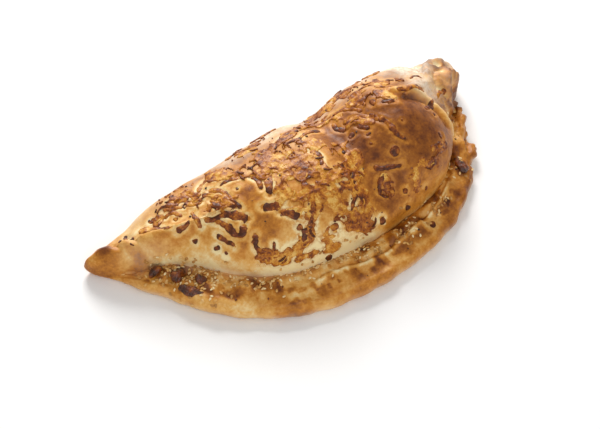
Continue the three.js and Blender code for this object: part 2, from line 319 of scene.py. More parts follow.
@lru_cache
def plan_fit():
    """Shift and stretch that put the plain dough exactly in the frame's box."""
    a, v = np.meshgrid(station_angles(SEAT_STATIONS), row_levels(SEAT_ROWS))
    points = raw_dough_point(a.ravel(), v.ravel())
    low, high = points.min(axis=0), points.max(axis=0)
    stretch = (CAD_BOX[1] - CAD_BOX[0]) / (high - low)
    return CAD_BOX[0] - low * stretch, stretch


def dough_grid(stations, levels):
    """Points, quads and their a and v. Points that fall together on the spine are one."""
    a, v = np.meshgrid(station_angles(stations), levels)
    around, rows = 2 * stations, len(levels)
    shift, stretch = plan_fit()
    points = raw_dough_point(a.ravel(), v.ravel()) * stretch + shift
    row, column = np.meshgrid(np.arange(rows - 1), np.arange(around), indexing="ij")
    here, beside = row * around + column, row * around + (column + 1) % around
    quads = np.stack([here, here + around, beside + around, beside], axis=-1).reshape(-1, 4)
    same = np.arange(rows * around)
    columns = np.arange(around)
    closed_rows = [0] + ([rows - 1] if levels[-1] >= 5 else [])
    for k in closed_rows:
        same[k * around + columns] = k * around + np.minimum(columns, around - columns)
    return points, same[quads], a.ravel(), v.ravel()


def point_normals(points, quads):
    corner = points[quads]
    face = np.cross(corner[:, 2] - corner[:, 0], corner[:, 3] - corner[:, 1])
    total = np.zeros_like(points)
    for k in range(4):
        np.add.at(total, quads[:, k], face)
    return total / np.maximum(np.linalg.norm(total, axis=1, keepdims=True), 1e-9)


# ---- noise ---------------------------------------------------------------------------------------

HASH_STEPS = np.array([73856093, 19349663, 83492791])
HASH_FACTOR = 1274126177
HASH_MASK = 0xFFFF
SEED_SHIFT = 31.7


def noise(points, size, seed):
    """Smooth noise from -1 to 1, with features about size mm across."""
    place = points / size + SEED_SHIFT * seed
    cell = np.floor(place)
    part = place - cell
    part = part ** 3 * (part * (6 * part - 15) + 10)
    total = np.zeros(len(points))
    for corner in product((0, 1), repeat=3):
        key = ((cell + corner).astype(np.int64) * HASH_STEPS).sum(axis=1)
        key = (key ^ (key >> 13)) * HASH_FACTOR
        value = ((key >> 16) & HASH_MASK) * 2 / HASH_MASK - 1
        total += value * np.prod(np.where(corner, part, 1 - part), axis=1)
    return total


def layers(points, *waves):
    """Noises added up. Each wave is a strength, a size in mm and a seed."""
    return sum(strength * noise(points, size, seed) for strength, size, seed in waves)


def creases(points, *waves):
    """1 along the lines where all the waves cross 0, and less beside them."""
    return 1 - sum(strength * np.abs(noise(points, size, seed)) for strength, size, seed in waves)


# ---- toppings, laid out in plan: mm from the middle of the part ----------------------------------

# Single shreds of grated cheese: width, browning at the start and at the end, route.
STRANDS = (
    (3.6, 0.35, 0.85, ((-122, 48), (-114, 42), (-105, 33))),
    (3.4, 0.8, 0.6, ((-103, 28), (-97, 27), (-92, 28))),
    (3.3, 0.5, 0.7, ((-86, 34), (-88, 26), (-88, 20))),
    (4.2, 0.5, 0.4, ((-73, 45), (-68, 50), (-61, 51), (-57, 46))),
    (3.2, 0.8, 0.6, ((-60, 38), (-53, 37), (-46, 34))),
    (3.1, 0.75, 0.9, ((-40, 27), (-39, 20), (-41, 13))),
    (3.4, 0.5, 0.85, ((-67, 41), (-62, 33), (-61, 22), (-60, 11))),
    (3.0, 0.4, 0.8, ((-72, 33), (-68, 23), (-62, 14))),
    (2.8, 0.4, 0.7, ((-103, 44), (-97, 44), (-93, 36))),
    (3.0, 0.4, 0.6, ((-93, 54), (-90, 48))),
    (3.0, 0.4, 0.55, ((-84, 44), (-82, 38), (-76, 36))),
    (2.7, 0.5, 0.6, ((-100, 50), (-95, 47), (-89, 42))),
    (2.8, 0.45, 0.7, ((-80, 52), (-78, 45), (-73, 42))),
    (5.2, 0.8, 0.85, ((-84, 22), (-79, 18), (-72, 16), (-66, 10), (-60, 2))),
    (5.2, 0.75, 0.95, ((-78, 16), (-74, 8), (-73, 1), (-69, -3), (-65, 0))),
    (3.4, 0.8, 0.85, ((-82, 9), (-80, 3), (-76, -5))),
    (4.6, 0.9, 0.6, ((-62, -9), (-65, -14), (-63, -20), (-57, -24))),
    (5.4, 0.6, 0.5, ((-59, -24), (-52, -27), (-44, -29))),
    (6.6, 0.6, 0.95, ((-44, -29), (-36, -30), (-29, -26))),
    (2.2, 0.9, 0.95, ((-56, -24), (-54, -20))),
    (5.6, 0.45, 0.95, ((-31, 21), (-35, 13), (-39, 6))),
    (5.6, 0.95, 0.6, ((-48, 2), (-43, -2), (-37, -4))),
    (5.4, 0.6, 0.95, ((-40, -8), (-35, -13), (-30, -18))),
    (5.0, 0.5, 0.7, ((-13, -8), (-18, -17), (-24, -24), (-28, -27))),
    (6.2, 0.4, 0.5, ((30, 1), (28, -4), (25, -10))),
    (3.6, 0.9, 0.8, ((24, -8), (16, -17), (15, -23), (8, -28), (6, -33), (10, -38))),
    (2.8, 0.7, 0.9, ((6, -13), (15, -16))),
    (3.2, 0.5, 0.75, ((34, 45), (42, 43), (50, 39), (56, 28))),
    (3.4, 0.7, 0.9, ((37, 36), (35, 30), (39, 24))),
    (3.5, 0.5, 0.6, ((41, 28), (49, 27), (56, 20), (60, 13))),
    (3.3, 0.6, 0.95, ((60, 13), (63, 5), (63, -3), (67, -10))),
    (3.2, 0.6, 0.9, ((46, 21), (51, 12))),
    (3.4, 0.9, 0.95, ((69, 23), (77, 18))),
    (3.4, 0.6, 0.7, ((77, 40), (86, 34))),
    (3.2, 0.6, 0.7, ((87, 29), (95, 26), (107, 26))),
    (2.8, 0.8, 0.8, ((107, 40), (112, 41), (114, 35))),
    (3.2, 0.8, 0.9, ((97, 8), (104, 12), (111, 17))),
    (2.8, 0.6, 0.8, ((118, 21), (125, 26), (131, 29))),
    (3.0, 0.5, 0.7, ((49, 55), (56, 56), (63, 54))),
    (3.1, 0.85, 0.95, ((37, -12), (45, -17), (55, -21))),
    (3.4, 0.9, 0.8, ((42, -20), (36, -22), (33, -27), (36, -31))),
    (2.6, 0.6, 0.5, ((42, -20), (43, -26), (40, -31))),
    (2.8, 0.5, 0.7, ((8, 36), (16, 38), (25, 36))),
    (2.8, 0.6, 0.7, ((-8, 44), (2, 46), (12, 44))),
    (3.0, 0.5, 0.8, ((5, 20), (8, 12), (4, 4))),
    (3.0, 0.7, 0.6, ((66, 48), (75, 46), (83, 46))),
    (2.6, 0.7, 0.8, ((88, 45), (94, 42))),
)

# Drops and flecks of burnt cheese: place, half width, browning.
DROPS = (
    (-95, 17, 1.9, 0.9), (-86, 3, 2.2, 0.95), (-83, -4, 1.1, 0.8), (-53, 26, 1.0, 0.9),
    (-34, -23, 2.2, 0.95), (27, 8, 2.0, 0.95), (17, -3, 2.0, 0.9), (14, -8, 2.3, 0.95),
    (39, 17, 2.3, 0.95), (48, 9, 1.9, 0.9), (56, -12, 3.0, 0.9), (65, 27, 2.6, 0.98), (95, -13, 2.1, 0.8),
    (50, -33, 1.8, 0.8), (49, -38, 2.0, 0.85), (26, -39, 2.4, 0.85), (68, -34, 1.4, 0.9),
    (57, -29, 1.2, 0.7), (-20, -39, 2.6, 0.95), (82, -41, 3.0, 0.9), (61, -52, 2.8, 0.9),
    (45, 2, 1.0, 0.7), (72, 2, 0.9, 0.6), (-111, 49, 1.6, 0.8), (-130, 53, 2.0, 0.9),
    (-11, -33, 2.8, 0.75), (-2, -31, 1.2, 0.8), (-73, 22, 1.0, 0.7), (-98, 37, 1.6, 0.7),
    (101, 3, 1.3, 0.7), (-128, 47, 1.8, 0.9), (-132, 42, 1.2, 0.85), (-136, 51, 1.2, 0.85),
)

# Melted patches: reach, route.
MATS = (
    (7, ((-84, 39), (-72, 33), (-62, 22))), (5, ((-78, 44), (-86, 27))), (6, ((-98, 53), (-80, 49))),
    (8, ((-66, 56), (-46, 42))), (9, ((-34, 28), (-8, 15), (24, 10))),
    (8, ((-12, 40), (14, 44), (34, 42))), (10, ((-26, 38), (6, 32))),
    (8, ((-34, 7), (-22, -6), (-4, -13))), (6, ((-40, -2), (-32, -14))),
    (4.6, ((-64, -20), (-48, -30), (-30, -30))), (3, ((-43, -33), (-30, -36))),
    (6, ((-13, -8), (-19, -17), (-26, -25))), (6.5, ((-3, -12), (-2, -27), (4, -35), (12, -39))),
    (4.5, ((30, 4), (28, -9), (20, -18))), (6, ((54, 64), (60, 54))), (6, ((62, 44), (71, 31), (81, 22))),
    (5, ((86, 46), (96, 42))), (6, ((74, 54), (83, 42))), (4.5, ((41, 26), (56, 17))),
    (4.5, ((70, -26), (83, -27))), (4.5, ((64, -29), (60, -35))), (3, ((89, 28), (106, 26))),
    (3.5, ((-21, -38), (-12, -34))), (4, ((83, -20), (94, -19))), (4.5, ((6, -38), (14, -41))),
    (5, ((-20, -33), (-18, -38))), (7, ((36, 58), (44, 54))), (5, ((39, -23), (38, -30))),
    (5, ((-108, 44), (-100, 46))), (6, ((-28, 54), (-12, 56))), (5, ((10, -2), (16, 2))),
    (11, ((-30, 36), (-8, 30), (14, 26))), (9, ((-18, 8), (0, 6), (16, -4))),
    (7, ((14, 22), (26, 12), (28, 0))), (6, ((8, -10), (20, -24), (18, -34))),
    (6, ((40, 38), (52, 40), (62, 34))), (4, ((-88, 59), (-78, 61))), (4, ((-66, 62), (-54, 63))),
    (3.6, ((-44, 62), (-28, 64))), (3.4, ((-12, 65), (4, 65))), (3.2, ((24, 65), (34, 65))),
    (3.4, ((50, 67), (62, 67))), (3.6, ((84, 64), (94, 62))),
)

# Browner clouds of the crust: place, reach, strength. The cloud at (37, -4), at the foot of the valley
# between the two swellings, is painted shade.
CLOUDS = (
    (-49, 18, 12, 0.16), (-52, -6, 15, 0.12), (-113, 33, 9, 0.14), (-83, -2, 13, 0.14),
    (-60, -14, 9, 0.1), (60, -4, 26, 0.08), (84, 6, 20, 0.05), (48, -32, 18, 0.08), (20, 28, 12, 0.08),
    (-3, -22, 7, 0.1), (-146, 54, 6, 0.36), (-134, 33, 5, 0.24), (-98, 12, 14, 0.08), (37, -4, 15, 0.1),
    (104, -14, 9, 0.08), (-30, 22, 14, 0.08), (-70, -8, 13, 0.14), (-68, 10, 12, 0.08), (-56, 24, 9, 0.1),
    (-38, -12, 8, 0.08),
)

# Where sesame seeds fell together: place, reach.
SEED_CLUSTERS = (
    (-131, 50, 4), (-122, 18, 6), (-112, 12, 6), (-110, 2, 7), (-97, -7, 6), (-90, -14, 7), (-72, -24, 7),
    (-62, -33, 6), (-38, -37, 6), (-28, -39, 6), (-11, -41, 6), (2, -43, 6), (10, -46, 6), (26, -39, 3),
    (49, -39, 3), (40, -48, 8), (60, -52, 4), (82, -41, 4), (68, -46, 6), (120, 20, 8), (-80, -20, 5),
    (-52, -36, 5),
)

# Folds of the crust: height (below 0 is a crease), half width, paler by, route. Paler by mixes the dough's
# own browning with painted light: a painted highlight on the collar ridge that runs down the right swelling
# and on some crests by the knob, and painted shade in the crease beside that ridge and in the knob's
# creases.
FOLDS = (
    (2.4, 3.4, 0.32, ((82, 30), (94, 28), (104, 21), (111, 10), (114, -4), (111, -16))),
    (-1.6, 2.2, -0.14, ((88, 20), (98, 18), (105, 10), (108, -2))),
    (2.2, 2.4, -0.2, ((150, 60), (138, 57), (129, 50), (124, 42))),
    (-2.2, 2.2, -0.1, ((153, 54), (141, 50), (132, 43), (125, 33))),
    (2.4, 2.2, -0.1, ((154, 47), (144, 43), (136, 34), (130, 22))),
    (-2.2, 2.0, -0.3, ((152, 38), (143, 33), (135, 22), (126, 8))),
    (2.4, 2.2, 0.25, ((149, 30), (142, 24), (134, 12), (125, 0), (119, -12))),
    (-2.0, 2.2, -0.3, ((146, 22), (140, 14), (132, 2), (124, -10))),
    (2.0, 2.2, 0.2, ((143, 14), (136, 3), (129, -10), (124, -20))),
    (-2.0, 2.4, -0.2, ((121, 62), (124, 52), (121, 44))),
    (-2.4, 2.6, 0.16, ((-130, 52), (-127, 38), (-121, 22))),
    (-2.0, 2.2, 0.1, ((-141, 52), (-138, 42), (-134, 30))),
    (1.8, 4.5, -0.12, ((-149, 57), (-146, 52), (-143, 46))),
    (1.8, 3.8, -0.14, ((-134, 46), (-132, 38), (-129, 28))),
)


# Steps along routes, in mm: for measuring, for the patches, and for the cheese itself.
ROUTE_STEP, MAT_STEP, STRAND_STEP, DROP_STEP = 1.5, 2.5, 0.8, 0.45
ABOVE_ALL, DOWN = 200, Vector((0, 0, -1))


def curve(route, step):
    """A smooth curve through a route's points, as points about step mm apart."""
    knots = np.array(route, float)
    length = np.linalg.norm(np.diff(knots, axis=0), axis=1).sum()
    count = max(int(length / step), 3) + 1
    return hermite(knots, np.gradient(knots, axis=0), np.linspace(0, len(knots) - 1, count))


def drop(tree, plan):
    """Points of the plan put on the surface under them, and its normals."""
    hits = [tree.ray_cast(Vector((x, y, ABOVE_ALL)), DOWN) for x, y in plan]
    missed = [tuple(place) for place, hit in zip(plan, hits) if hit[0] is None]
    if missed:
        raise ValueError(f"toppings lie beside the dough: {missed}")
    return np.array([hit[0] for hit in hits]), np.array([hit[1] for hit in hits])


@lru_cache
def plain_tree():
    points, quads, _, _ = dough_grid(SEAT_STATIONS, row_levels(SEAT_ROWS))
    return BVHTree.FromPolygons(points.tolist(), quads.tolist())


def on_plain_dough(routes, step):
    """Points along routes on the plain dough, each with its route's width, from (width, route)."""
    dropped = [(drop(plain_tree(), curve(route, step))[0], width) for width, route in routes]
    widths = [np.full(len(points), width) for points, width in dropped]
    return np.concatenate([points for points, _ in dropped]), np.concatenate(widths)


@lru_cache
def strand_places():
    """Points along every strand and drop, on the plain dough, with the half width there."""
    places, halves = on_plain_dough([(width / 2, route) for width, _, _, route in STRANDS], ROUTE_STEP)
    drops, _ = drop(plain_tree(), [(x, y) for x, y, _, _ in DROPS])
    drop_halves = [half for _, _, half, _ in DROPS]
    return np.concatenate([places, drops]), np.concatenate([halves, drop_halves])


def gap_to_strands(points):
    """Distance from each point to the edge of the nearest strand or drop, below 0 under it."""
    places, halves = strand_places()
    tree = KDTree(len(places))
    for i, place in enumerate(places):
        tree.insert(place, i)
    tree.balance()
    found = [tree.find(point)[1:] for point in points]
    nearest = np.array([index for index, _ in found])
    return np.array([distance for _, distance in found]) - halves[nearest]


LUMP_REACH = 0.62               # of the diagonal of a lump's box


@lru_cache
def lump_places():
    """Middle and reach of each burnt lump, in mm."""
    corners = [np.array(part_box(name)) / MM for name in LUMP_NODES]
    return [
        (box.mean(axis=0), np.linalg.norm(box[1, :2] - box[0, :2]) * LUMP_REACH) for box in corners
    ]


@lru_cache
def mat_places():
    return on_plain_dough(MATS, MAT_STEP)


def threads(points):
    """A net of melted shreds: 1 along their middles, 0 between them."""
    net = np.maximum(creases(points, (3.4, 9, 45)), creases(points, (3.0, 6.5, 46)))
    return clamp01(net) * smooth(-0.7, 0.1, noise(points, 15, 48))


FAR_FROM_MATS, NEAR_MATS = -9.0, -2


def mat_cover(points):
    """How much cheese melted over each point: above 0 is covered, 1 is the most."""
    places, reaches = mat_places()
    cover = np.full(len(points), FAR_FROM_MATS)
    for place, reach in zip(places, reaches):
        cover = np.maximum(cover, 1 - np.linalg.norm(points - place, axis=1) / reach)
    near = cover > NEAR_MATS
    ragged = layers(points[near], (0.55, 8, 11), (0.4, 3.2, 12))
    net = threads(points[near])
    windows = smooth(0.05, 0.4, noise(points[near], 11, 47)) * smooth(-16, 0, points[near, 1])
    cover[near] += ragged + 0.5 * net - 0.16 - 1.5 * windows * (1 - net)
    return cover


# ---- the crust's relief and looks ----------------------------------------------------------------


def sum_of_bells(x, y, places):
    return sum(strength * bell(np.hypot(x - cx, y - cy), reach) for cx, cy, reach, strength in places)


def beside_route(x, y, route, width):
    """1 on a route in plan, easing to 0 about width mm beside it."""
    gap = np.min([np.hypot(x - cx, y - cy) for cx, cy in curve(route, ROUTE_STEP)], axis=0)
    return bell(gap, width)


def crumpling(points):
    """Sharp little folds, from -1 between them to 1 on them."""
    return creases(points, (2.6, 9, 7), (1.6, 4.5, 8))


def crumpled_end(x, y):
    """1 where the dough is crumpled: on the knob and where the hem turns up beside it."""
    knob = bell(np.hypot(x - 140, y - 50), 17)
    turned_up = smooth(108, 126, x) * (1 - smooth(30, 48, y))
    return np.maximum(knob, turned_up)


def second_lip(x, v):
    """A fold line along the pressed hem, from its middle to the right."""
    waver = 0.05 * np.sin(x / 9) + 0.06 * np.sin(x / 21)
    return smooth(-45, -30, x) * (1 - smooth(78, 100, x)) * bell(v - 2.5 - waver, 0.06)


def survey(points, a, v):
    """What the crust's relief and looks go by: where each point lies, on what, and beside what."""
    x, y, z = points.T
    front = hemmed(a)
    return Named(
        points=points, x=x, y=y, z=z, v=v, front=front, back=1 - front,
        marks=fingers(np.interp(a, TURN, ARC)), gap=gap_to_strands(points), cover=mat_cover(points),
        clouds=layers(points, (1, 24, 21), (0.6, 11, 22), (0.35, 5, 23)),
        dome=1 - smooth(1.05, 1.7, v) * front,
        hem=front * smooth(1.95, 2.1, v) * (1 - smooth(3.5, 4, v)),
        under=smooth(3.98, 4.05, v),
    )


def relief(at):
    """How far the crust stands off the plain dough, in mm."""
    points, x, y, v = at.points, at.x, at.y, at.v
    settings = bpy.context.scene.calzone_dough
    rise = settings.swell / MM * layers(points, (1, 30, 1), (0.4, 13, 2)) + 0.16 * noise(points, 4.5, 3)

    on_hem = at.front * smooth(2.02, 2.3, v) * (1 - smooth(3.4, 3.9, v))
    lumps = layers(points, (1, 12, 4), (0.6, 5.5, 5), (0.15, 2.8, 54))
    rise = rise + on_hem * settings.hem_lumps / MM * lumps
    dents = np.maximum(0, -at.marks - 0.15) * bell(v - 2.35, 0.2)
    fold_line = 0.9 * second_lip(x, v - 0.04) - 1.5 * second_lip(x, v + 0.07)
    rise = rise + at.front * (fold_line - 1.6 * dents)

    # folds of the dome where it sinks to the seam, and crumpling of the knob
    sinking = bell(v - 0.9, 0.35) * noise(points, 9, 6)
    filled_seam = bell(v - 1.98, 0.2) * (1 - smooth(0, 55, x))
    rise = rise + at.front * (0.7 * sinking + 2.8 * filled_seam)
    rise = rise + 1.5 * crumpled_end(x, y) * crumpling(points)
    for height, width, _, route in FOLDS:
        rise = rise + height * beside_route(x, y, route, width)

    # the right half swells up beyond a valley
    swollen = 2.2 * bell(np.hypot(x - 74, y - 6), 30) - 2.6 * bell(x - 30, 12)
    rise = rise + smooth(22, 45, at.z) * swollen

    # a strand lies in a shallow bed with a swollen rim
    rise = rise + 0.35 * bell(at.gap - 2.0, 1.5) - 0.3 * (1 - smooth(-1, 1.0, at.gap))
    return rise * clamp01(at.z / 7) ** 0.7


def dome_browning_and_painted_light(at):
    """Browning of the dough over the filling, paler above the seam and in its folds, with painted light
    mixed in: painted shade in the valley and in part of the browner right swelling, and the fold marks'
    painted highlight and shade; the pale strip above the seam is partly the dough's own paler bake and
    partly painted light against the groove's shade.
    """
    x, y = at.x, at.y
    # the valley term darkens the hollow between the swellings with painted shade; one cloud of the table
    # adds more painted shade there
    painted_valley_shade, tail_root = bell(x - 30, 14), bell(x + 136, 18)
    bake = 0.385 + 0.11 * at.clouds + 0.1 * painted_valley_shade + sum_of_bells(x, y, CLOUDS) - 0.05 * tail_root
    # the right swelling is browner: partly its own browning, partly painted shade on its side turned from
    # the light
    right_half = smooth(12, 40, x) * (1 - 0.7 * smooth(108, 122, x)) * (1 - smooth(26, 48, y))
    # pale strip above the seam: partly the dough's own paler bake, partly painted light that lifts it out of
    # the groove's shade
    above_seam = bell(at.v - 1.3, 0.65, 4) * (1 - 0.55 * smooth(20, 75, x)) * smooth(-134, -112, x)
    bake = bake + 0.28 * right_half * at.dome - 0.42 * above_seam * at.front
    bake = bake + crumpled_end(x, y) * (0.1 * smooth(44, 26, y) + 0.3 * crumpling(at.points))
    # fold marks: the dough's own browning on some, a painted highlight on the collar ridge and some knob
    # crests, painted shade in the creases beside them
    for _, width, paler, route in FOLDS:
        bake = bake - paler * beside_route(x, y, route, 1.3 * width)
    return bake


def hem_browning_and_painted_shade(at):
    """Browning of the pressed hem, in patches on its crest, and darker on its lip: partly the lip's own
    browning, partly painted shade where the lip rolls under.
    """
    points, x, v = at.points, at.x, at.v
    patches = smooth(-0.3, 0.6, 0.3 * at.marks + layers(points, (0.7, 12, 24), (0.8, 6, 25)))
    bake = 0.29 + 0.34 * patches * bell(v - 2.55, 0.5, 4)
    bake = bake + 0.24 * bell(v - 2.2, 0.14) * noise(points, 8, 26) + 0.08 * at.clouds
    bake = bake + 0.05 * bell(x + 146, 14) + 0.12 * smooth(20, 90, x)
    # darker lip: partly its own browning, partly painted shade where the lip turns down
    bake = bake + 0.16 * smooth(2.9, 3.25, v) * smooth(-95, -60, x)
    return bake - 0.25 * second_lip(x, v - 0.06)


def browning(at):
    """Browning of the whole crust, from 0 pale to 1 black, with painted shade and painted highlight mixed
    in.
    """
    points, x, y, v = at.points, at.x, at.y, at.v
    bake = mix(dome_browning_and_painted_light(at), hem_browning_and_painted_shade(at), at.hem * (1 - 0.7 * bell(x + 150, 14)))
    # the seam crease darkened: partly browning, partly painted shade in the crease
    bake = bake + 0.14 * at.front * bell(v - 1.98, 0.1) * smooth(-40, 20, x)

    # fat keeps the dough pale round each strand, and the back rim is browner
    halo = bell(np.maximum(at.gap - 0.8, 0), 1.9) * (at.gap > -1) * (1 - 0.45 * smooth(20, 60, x))
    back_rim = smooth(28, 46, y) * smooth(-70, -30, x)
    bake = bake + (0.12 * back_rim - 0.26 * halo) * at.dome

    golden = smooth(-0.2, 0.6, noise(points, 17, 35)) * smooth(0.4, 1.2, v) * smooth(3.6, 2.6, v)
    bake = bake + 0.16 * golden * at.back

    # small brown spots where bubbles of the hem touched the heat
    spots = smooth(0.22, 0.5, noise(points, 4.2, 51)) * (1 - smooth(2.85, 3.2, v))
    spots = spots * (0.5 + 0.5 * smooth(-0.3, 0.4, noise(points, 16, 52)))
    bake = bake + 0.26 * spots * at.hem
    return mix(bake, 0.5 + 0.35 * smooth(0.1, 0.7, at.clouds), at.under)


def flouring_and_painted_light(at):
    """Flour dust, thick on the back, under the lip, above the seam on the left and by the knob, with painted
    light laid in the same mask: a painted highlight on the back rim and beside the collar ridge, and painted
    light that lifts the strip above the seam on the left out of the groove's shade.
    """
    points, x, y, v = at.points, at.x, at.y, at.v
    dusting = 0.26 + layers(points, (0.3, 9, 27), (0.3, 26, 34))
    flour = at.back * smooth(0.3, 0.85, v) * dusting * smooth(-150, -115, x)
    flour = flour + at.front * smooth(3.3, 3.8, v) * (0.5 + 0.4 * noise(points, 8, 28))
    # painted light: the strip above the seam on the left is lightened against the groove's shade
    above_seam = bell(v - 1.6, 0.5, 4) * (1 - smooth(-30, 20, x)) * smooth(-130, -115, x)
    flour = flour + 0.45 * at.front * above_seam
    flour = flour + 0.8 * bell(np.hypot(x - 119, y - 54), 17) * (0.7 + 0.5 * noise(points, 6, 29))
    # back rim: partly flour dust, partly a painted highlight where the rim catches the light from behind
    back_rim = smooth(36, 58, y) * smooth(-70, -30, x) * at.dome
    flour = flour + 0.45 * back_rim * (0.8 + 0.6 * noise(points, 8, 29))
    flour = flour * (1 - 0.6 * bell(np.hypot(x - 146, y - 50), 14))
    # painted highlight beside the collar ridge, laid in as flour
    flour = flour + 0.75 * bell(np.hypot(x - 111, y - 29), 11)
    return flour * (1 - smooth(3.9, 4.1, v)) + 0.12 * at.under


def seeding(at):
    """How thick the sesame seeds lie: in their clusters, on the front only."""
    x, v = at.x, at.v
    seeds = sum_of_bells(x, at.y, [(*cluster, 1) for cluster in SEED_CLUSTERS])
    seeds = seeds * (0.35 + 1.1 * smooth(-0.15, 0.5, noise(at.points, 5, 33)))
    seeds = (seeds + 0.04 * at.front * bell(v - 2.15, 0.3)) * at.front
    seeds = seeds * (at.z > 4) * (v < 2.9) * ((v > 0.85) | (x < -124))
    return seeds * (1 - bell(v - 1.38, 0.56, 6))


DARKEST = 0.78


def crust_looks(at):
    """Browning, flour and grease of the crust, each from 0 to 1, the browning and the flour with painted
    light mixed in, and where seeds and specks fall.
    """
    seeds = seeding(at)
    lumps = sum(
        bell(np.linalg.norm(at.points - centre, axis=1), reach) for centre, reach in lump_places()
    )
    bake = browning(at) + 0.1 * lumps + 0.12 * clamp01(seeds) * noise(at.points, 3.5, 30)
    specks = 0.4 * (at.v < 0.9) * smooth(-1.5, -0.4, at.cover) + 0.5 * at.hem * bell(at.v - 2.5, 0.5)
    return {
        "bake": np.clip(bake, 0, DARKEST),
        "flour": clamp01(flouring_and_painted_light(at)),
        "grease": clamp01(smooth(-0.75, 0.25, at.cover) * at.dome),
        "seed_weight": clamp01(seeds + 0.5 * lumps * at.front * (at.z > 4)),
        "speck_weight": clamp01(specks + 0.03 * (at.v < 1)),
    }


RIDGE_ROUNDS = (150, 20)
RIDGE_STRIDES = (3, 1)
RIDGE_REACH = 20
RIDGE_STRENGTHS = Named(tail=1.0, knob=0.6)


def soften_ridges(points, v, stations):
    """Rounds the two ridges that run out from the ends of the spine to the tail and the knob."""
    shape = (-1, 2 * stations)
    x, y, z = (points[:, k].reshape(shape) for k in range(3))
    v = v.reshape(shape)
    row = np.abs(v[:, 0] - 1).argmin()
    weight = np.zeros_like(z)
    for column, strength in ((stations, RIDGE_STRENGTHS.tail), (0, RIDGE_STRENGTHS.knob)):
        start = np.array([x[0, column], y[0, column]])
        ahead = np.array([x[row, column], y[row, column]]) - start
        length = np.linalg.norm(ahead)
        ahead = ahead / length
        along = (x - start[0]) * ahead[0] + (y - start[1]) * ahead[1]
        across = (x - start[0]) * ahead[1] - (y - start[1]) * ahead[0]
        near = bell(across, RIDGE_REACH, 4) * smooth(-16, 8, along)
        weight = np.maximum(weight, strength * near)
    weight = weight * smooth(0, 0.05, v) * (1 - smooth(0.8, 0.97, v))
    for rounds, stride in zip(RIDGE_ROUNDS, RIDGE_STRIDES):
        for _ in range(rounds):
            above, below = np.roll(z, stride, axis=0), np.roll(z, -stride, axis=0)
            above[:stride], below[-stride:] = z[:stride], z[-stride:]
            mean = (np.roll(z, stride, axis=1) + np.roll(z, -stride, axis=1) + above + below) / 4
            z = mix(z, mean, weight)
    return np.stack([points[:, 0], points[:, 1], z.ravel()], axis=-1)


def crust_surface():
    """Points of the finished crust, its quads, and its looks by name."""
    points, quads, a, v = dough_grid(CRUST_STATIONS, row_levels(CRUST_ROWS))
    at = survey(soften_ridges(points, v, CRUST_STATIONS), a, v)
    raised = at.points + point_normals(at.points, quads) * relief(at)[:, None]
    raised[:, 2] = np.maximum(raised[:, 2], 0)
    return raised, quads, crust_looks(at)


CRUST_WITHIN = 6


def onto_crust(points, normals):
    """Points moved along their normals onto the finished crust."""
    moved = points.copy()
    for i, (point, normal) in enumerate(zip(points, normals)):
        start = Vector(point + normal * CRUST_WITHIN)
        hit = crust_tree().ray_cast(start, Vector(-normal), 2 * CRUST_WITHIN)[0]
        if hit is not None:
            moved[i] = hit
    return moved


# ---- meshes, pieces and nodes --------------------------------------------------------------------


def linear(hex_colour):
    """An sRGB hex colour as linear red, green, blue and alpha."""
    channels = [int(hex_colour[k:k + 2], 16) / 255 for k in (1, 3, 5)]
    return tuple(c / 12.92 if c <= 0.04045 else ((c + 0.055) / 1.055) ** 2.4 for c in channels) + (1.0,)


def make_object(name, points, faces, looks, material):
    """A smooth mesh object from points in mm, without the points that no face uses."""
    mesh = bpy.data.meshes.new(name)
    if isinstance(faces, np.ndarray):
        used, faces = np.unique(faces, return_inverse=True)
        faces = faces.reshape(-1, 4)
        points = points[used]
        looks = {key: value[used] for key, value in looks.items()}
        faces = faces.tolist()
    mesh.from_pydata((points * MM).tolist(), [], faces)
    for key, value in looks.items():
        attribute = mesh.attributes.new(key, "FLOAT", "POINT")
        attribute.data.foreach_set("value", np.asarray(value, np.float32))
    mesh.shade_smooth()
    if material:
        mesh.materials.append(material)
    mesh.update()
    mesh.validate()
    piece = bpy.data.objects.new(name, mesh)
    bpy.context.scene.collection.objects.link(piece)
    return piece


def settle(piece, slot, *nodes):
    """Ties a finished piece to the frame."""
    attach(piece, BODY)
    if nodes:
        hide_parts(*nodes)


def feed(tree, node, values):
    """Gives inputs of a node a number, a colour or a socket to link."""
    for key, value in values.items():
        if isinstance(value, bpy.types.NodeSocket):
            tree.links.new(value, node.inputs[key])
        else:
            node.inputs[key].default_value = value


def add_node(tree, kind, values=None, stops=(), **settings):
    """Adds a node with its settings, what its inputs get, and the stops of its colour ramp."""
    node = tree.nodes.new(kind)
    for key, value in settings.items():
        setattr(node, key, value)
    feed(tree, node, values or {})
    for k, (position, colour) in enumerate(stops):
        elements = node.color_ramp.elements
        element = elements[k] if k < 2 else elements.new(position)
        element.position = position
        element.color = colour
    return node


def new_material(name):
    """A node material with a Principled shader and Object coordinates."""
    material = bpy.data.materials.new(name)
    material.use_nodes = True
    tree = material.node_tree
    tree.nodes.clear()
    shader = add_node(tree, "ShaderNodeBsdfPrincipled")
    add_node(tree, "ShaderNodeOutputMaterial", {"Surface": shader.outputs[0]})
    place = add_node(tree, "ShaderNodeTexCoord").outputs["Object"]
    return material, tree, shader, place


def unevened(tree, level, *grains):
    """A level raised and lowered by grains, each a noise and how far it goes from end to end."""
    for grain, strength in grains:
        about_zero = add_node(
            tree, "ShaderNodeMath", {0: grain, 1: strength, 2: -strength / 2}, operation="MULTIPLY_ADD",
        )
        added = add_node(tree, "ShaderNodeMath", {0: level, 1: about_zero.outputs[0]}, operation="ADD")
        level = added.outputs[0]
    return level


def finish_material(tree, shader, reliefs, values):
    """Feeds the shader. The reliefs, coarse to fine, are each a height, a strength and a depth in mm."""
    normal = {}
    for height, strength, depth in reliefs:
        bump = add_node(tree, "ShaderNodeBump", {
            "Height": height, "Strength": strength, "Distance": depth * MM, **normal,
        })
        normal = {"Normal": bump.outputs[0]}
    feed(tree, shader, {**values, **normal})
